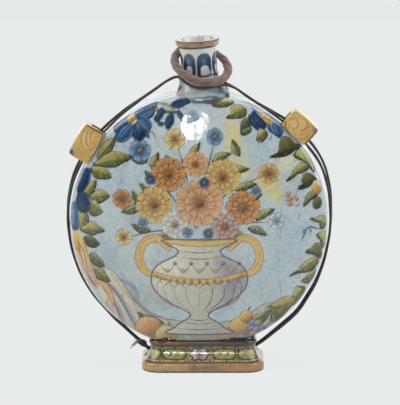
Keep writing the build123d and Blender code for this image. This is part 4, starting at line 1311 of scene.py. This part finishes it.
tied = sweep([knotStart.lerp(knotEnd, k / 12) for k in range(13)], 20, knotLump)
coil = []
for k in range(knot["coilSteps"] + 1):
    share = k / knot["coilSteps"]
    a = fullTurn * knot["turns"] * share
    coil.append(knotStart.lerp(knotEnd, 0.3 + 0.45 * share + 0.05 * math.sin(a))
                + roundKnot(a, knot["radius"] + 0.35 + 0.25 * math.sin(2 * a)))
joinBmesh(tied, sweep(coil, 10, coilSection))
knotLeather = leather("knotLeather", (22, 15, 13), (78, 54, 45))
finishPiece(tied, "cordKnot", knotLeather, "flask", ["foot_knot"], 60)
tuft = bmesh.new()
for name in ("around", "along"):
    tuft.verts.layers.float.new(name)
for k in range(knot["hairs"]):
    a = 2.4 * k
    root = knotEnd - knotWay * 2.6 * mm + roundKnot(a, 1.3)
    out = (knotWay * 0.35 + knotUp * 0.5 * math.cos(a) + Vector((-0.35, 0.55 * math.sin(a), -0.25))).normalized()
    fall = Vector((-0.2, 0.1 * math.sin(5 * k), -1)) * 0.42
    length = (knot["hairLength"] + 2.0 * math.sin(2.9 * k)) * mm
    hair = [root + out * length * t + fall * length * t * t for t in (0, 0.25, 0.5, 0.75, 1)]
    joinBmesh(tuft, sweep(hair, 6, hairSection))
frayed = leather("frayedLeather", (134, 102, 90), (192, 162, 148), 0.6)
finishPiece(tuft, "frayedEnds", frayed, "flask", ["foot_knot"], 60)
print("knot tied")


rope = {"radius": 3.9, "halfWidth": 24.6, "halfDepth": 28.0, "centre": (2.1, 1.5, 276.0), "roll": 14.0, "pitch": 23.0,
        "strands": 3, "lay": 34.0, "seam": 74.0, "length": 166, "steps": 300}


def ropeMaterial():
    material, tree, shader = startMaterial("ropeFibre", Sheen_Weight=0.35, Sheen_Roughness=0.5)
    place = objectPlace(tree)
    laid = maths(tree, "MULTIPLY_ADD", attribute(tree, "along"), -1 / mm / rope["lay"], attribute(tree, "around"))
    hair, patch = noise(tree, fibres(tree, laid, 120.0, 30.0), 1.4, 4, 0.6), noise(tree, place, 110, 3)
    grain = noise(tree, place, 1100, 3)
    colour = mixColour(tree, ramp(tree, hair, 0.3, 0.72), (66, 46, 40), (144, 110, 95))
    colour = mixColour(tree, ramp(tree, patch, 0.4, 0.7, (0.0, 0.5)), colour, (110, 82, 70))
    # Painted shade deep in the grooves between the strands
    colour = mixColour(tree, ramp(tree, attribute(tree, "grooveShade"), 0.25, 1.0, (0.0, 0.85)), colour, (40, 26, 23))
    colour = mixColour(tree, ramp(tree, grain, 0.3, 0.55, (0.4, 0.0)), colour, (70, 50, 46), "MULTIPLY")
    height = maths(tree, "MULTIPLY_ADD", grain, 0.4, hair)
    finishMaterial(tree, shader, colour, ramp(tree, hair, 0.2, 0.8, (0.55, 0.8)), (0.8, 0.0005, height))
    return material


def ringLine(steps):
    roll, pitch = math.radians(rope["roll"]), math.radians(rope["pitch"])
    wide = Vector((math.cos(roll), 0, -math.sin(roll)))
    deep = Vector((math.sin(pitch) * math.sin(roll), math.cos(pitch), math.sin(pitch) * math.cos(roll)))
    spots = []
    for k in range(steps + 1):
        t = fullTurn * k / steps + math.radians(rope["seam"])
        reach = math.hypot(math.cos(t) / rope["halfWidth"], math.sin(t) / rope["halfDepth"])
        spots.append((Vector(rope["centre"]) + (wide * math.cos(t) + deep * math.sin(t)) / reach) * mm)
    return spots


def ropeLobe(t, run):
    return abs(math.cos(math.pi * rope["strands"] * (t - run / rope["lay"])))


def ropeSection(share, t):
    taper = min(1.0, 0.62 + share * 22, 0.66 + (1 - share) * 2.8)
    worn = 1 + 0.03 * math.sin(share * 41) + 0.025 * math.sin(share * 97 + 1)
    return (rope["radius"] * mm * (0.86 + 0.14 * ropeLobe(t, share * rope["length"]) ** 0.6) * taper * worn,) * 2


ring = sweep(ringLine(rope["steps"]), 40, ropeSection)
# How deep each point lies between strands, for the painted shade in the grooves
grooveShade = ring.verts.layers.float.new("grooveShade")
around, along = ring.verts.layers.float["around"], ring.verts.layers.float["along"]
for v in ring.verts:
    v[grooveShade] = (1 - ropeLobe(v[around], v[along] / mm)) ** 3
finishPiece(ring, "ropeRing", ropeMaterial(), "neck_ring", ["carry_ring"], 70)

whipping = clayCopy("ring_whipping", 0.4, 2)
thread, tree, shader = startMaterial("whippingThread", Roughness=0.6, Sheen_Weight=0.3)
waves = {"Vector": objectPlace(tree), "Scale": 260, "Distortion": 3, "Detail": 3}
turns = addNode(tree, "TexWave", waves).outputs["Color"]
# Darker between the turns of thread and lighter on them: painted shade and light on the wrapped turns
colour = mixColour(tree, ramp(tree, turns, 0.1, 0.8), (58, 38, 32), (126, 92, 76))
finishMaterial(tree, shader, colour, None, (0.8, 0.0004, turns))
finishPiece(whipping, "threadWhipping", thread, "neck_ring", ["ring_whipping"], 60)
print("ring laid")


# Floor, world and lights, each lamp as x, y, z, width, height and power
studio = {
    "paper": (231, 235, 234), "shadedPaper": (222, 224, 222), "flatShare": 0.97, "air": (0.96, 0.98, 1.0, 1),
    "world": 0.45, "gloss": 0.16, "aim": (0, 0, 0.16), "floor": 9.0,
    "lamps": {
        "windowLeft": (-0.19, -2.28, 1.15, 0.04, 0.16, 2.6), "windowMiddle": (-0.1, -2.28, 1.04, 0.05, 0.1, 2.2),
        "windowRight": (0.02, -2.28, 1.12, 0.03, 0.15, 2.0), "top": (0.0, -0.2, 1.9, 1.5, 0.8, 11.0),
        "left": (-1.35, -0.2, 1.0, 1.1, 1.5, 17.0), "right": (1.35, -0.2, 1.0, 1.1, 1.5, 17.0),
        "back": (0.0, 1.9, 0.8, 3.6, 2.2, 26.0)},
}
paperColour = (*linear(studio["paper"]), 1)


def startTree(owner):
    owner.use_nodes = True
    owner.node_tree.nodes.clear()
    return owner.node_tree


paper = bpy.data.materials.new("palePaper")
tree = startTree(paper)
flat = addNode(tree, "Emission", {"Color": paperColour, "Strength": 1.0}).outputs[0]
lit = addNode(tree, "BsdfDiffuse", {"Color": (*linear(studio["shadedPaper"]), 1)}).outputs[0]
share = maths(tree, "MULTIPLY", addNode(tree, "LightPath").outputs["Is Camera Ray"], studio["flatShare"])
mixed = addNode(tree, "MixShader", {0: share, 1: lit, 2: flat}).outputs[0]
tree.links.new(mixed, addNode(tree, "OutputMaterial").inputs["Surface"])
bm = bmesh.new()
bmesh.ops.create_grid(bm, x_segments=4, y_segments=4, size=studio["floor"])
floor = addObject("paperFloor", meshOf(bm, "paperFloor"))
floor.data.materials.append(paper)

world = bpy.data.worlds.new("paleStudio")
scene.world = world
tree = startTree(world)
seen = addNode(tree, "LightPath")
sockets = {"Value": seen.outputs["Is Glossy Ray"], "To Min": studio["world"], "To Max": studio["gloss"]}
level = addNode(tree, "MapRange", sockets).outputs[0]
room = addNode(tree, "Background", {"Color": studio["air"], "Strength": level}).outputs[0]
backdrop = addNode(tree, "Background", {"Color": paperColour, "Strength": 1.0}).outputs[0]
mixed = addNode(tree, "MixShader", {0: seen.outputs["Is Camera Ray"], 1: room, 2: backdrop}).outputs[0]
tree.links.new(mixed, addNode(tree, "OutputWorld").inputs["Surface"])

for name, (x, y, z, wide, tall, power) in studio["lamps"].items():
    lamp = bpy.data.lights.new(name + "Light", "AREA")
    lamp.shape = "RECTANGLE"
    lamp.size, lamp.size_y, lamp.energy = wide, tall, power
    light = addObject(name + "Light", lamp)
    light.location = (x, y, z)
    light.visible_camera = False
    light.rotation_euler = (Vector(studio["aim"]) - light.location).to_track_quat("-Z", "Y").to_euler()
print("studio lit")

bpy.context.view_layer.update()
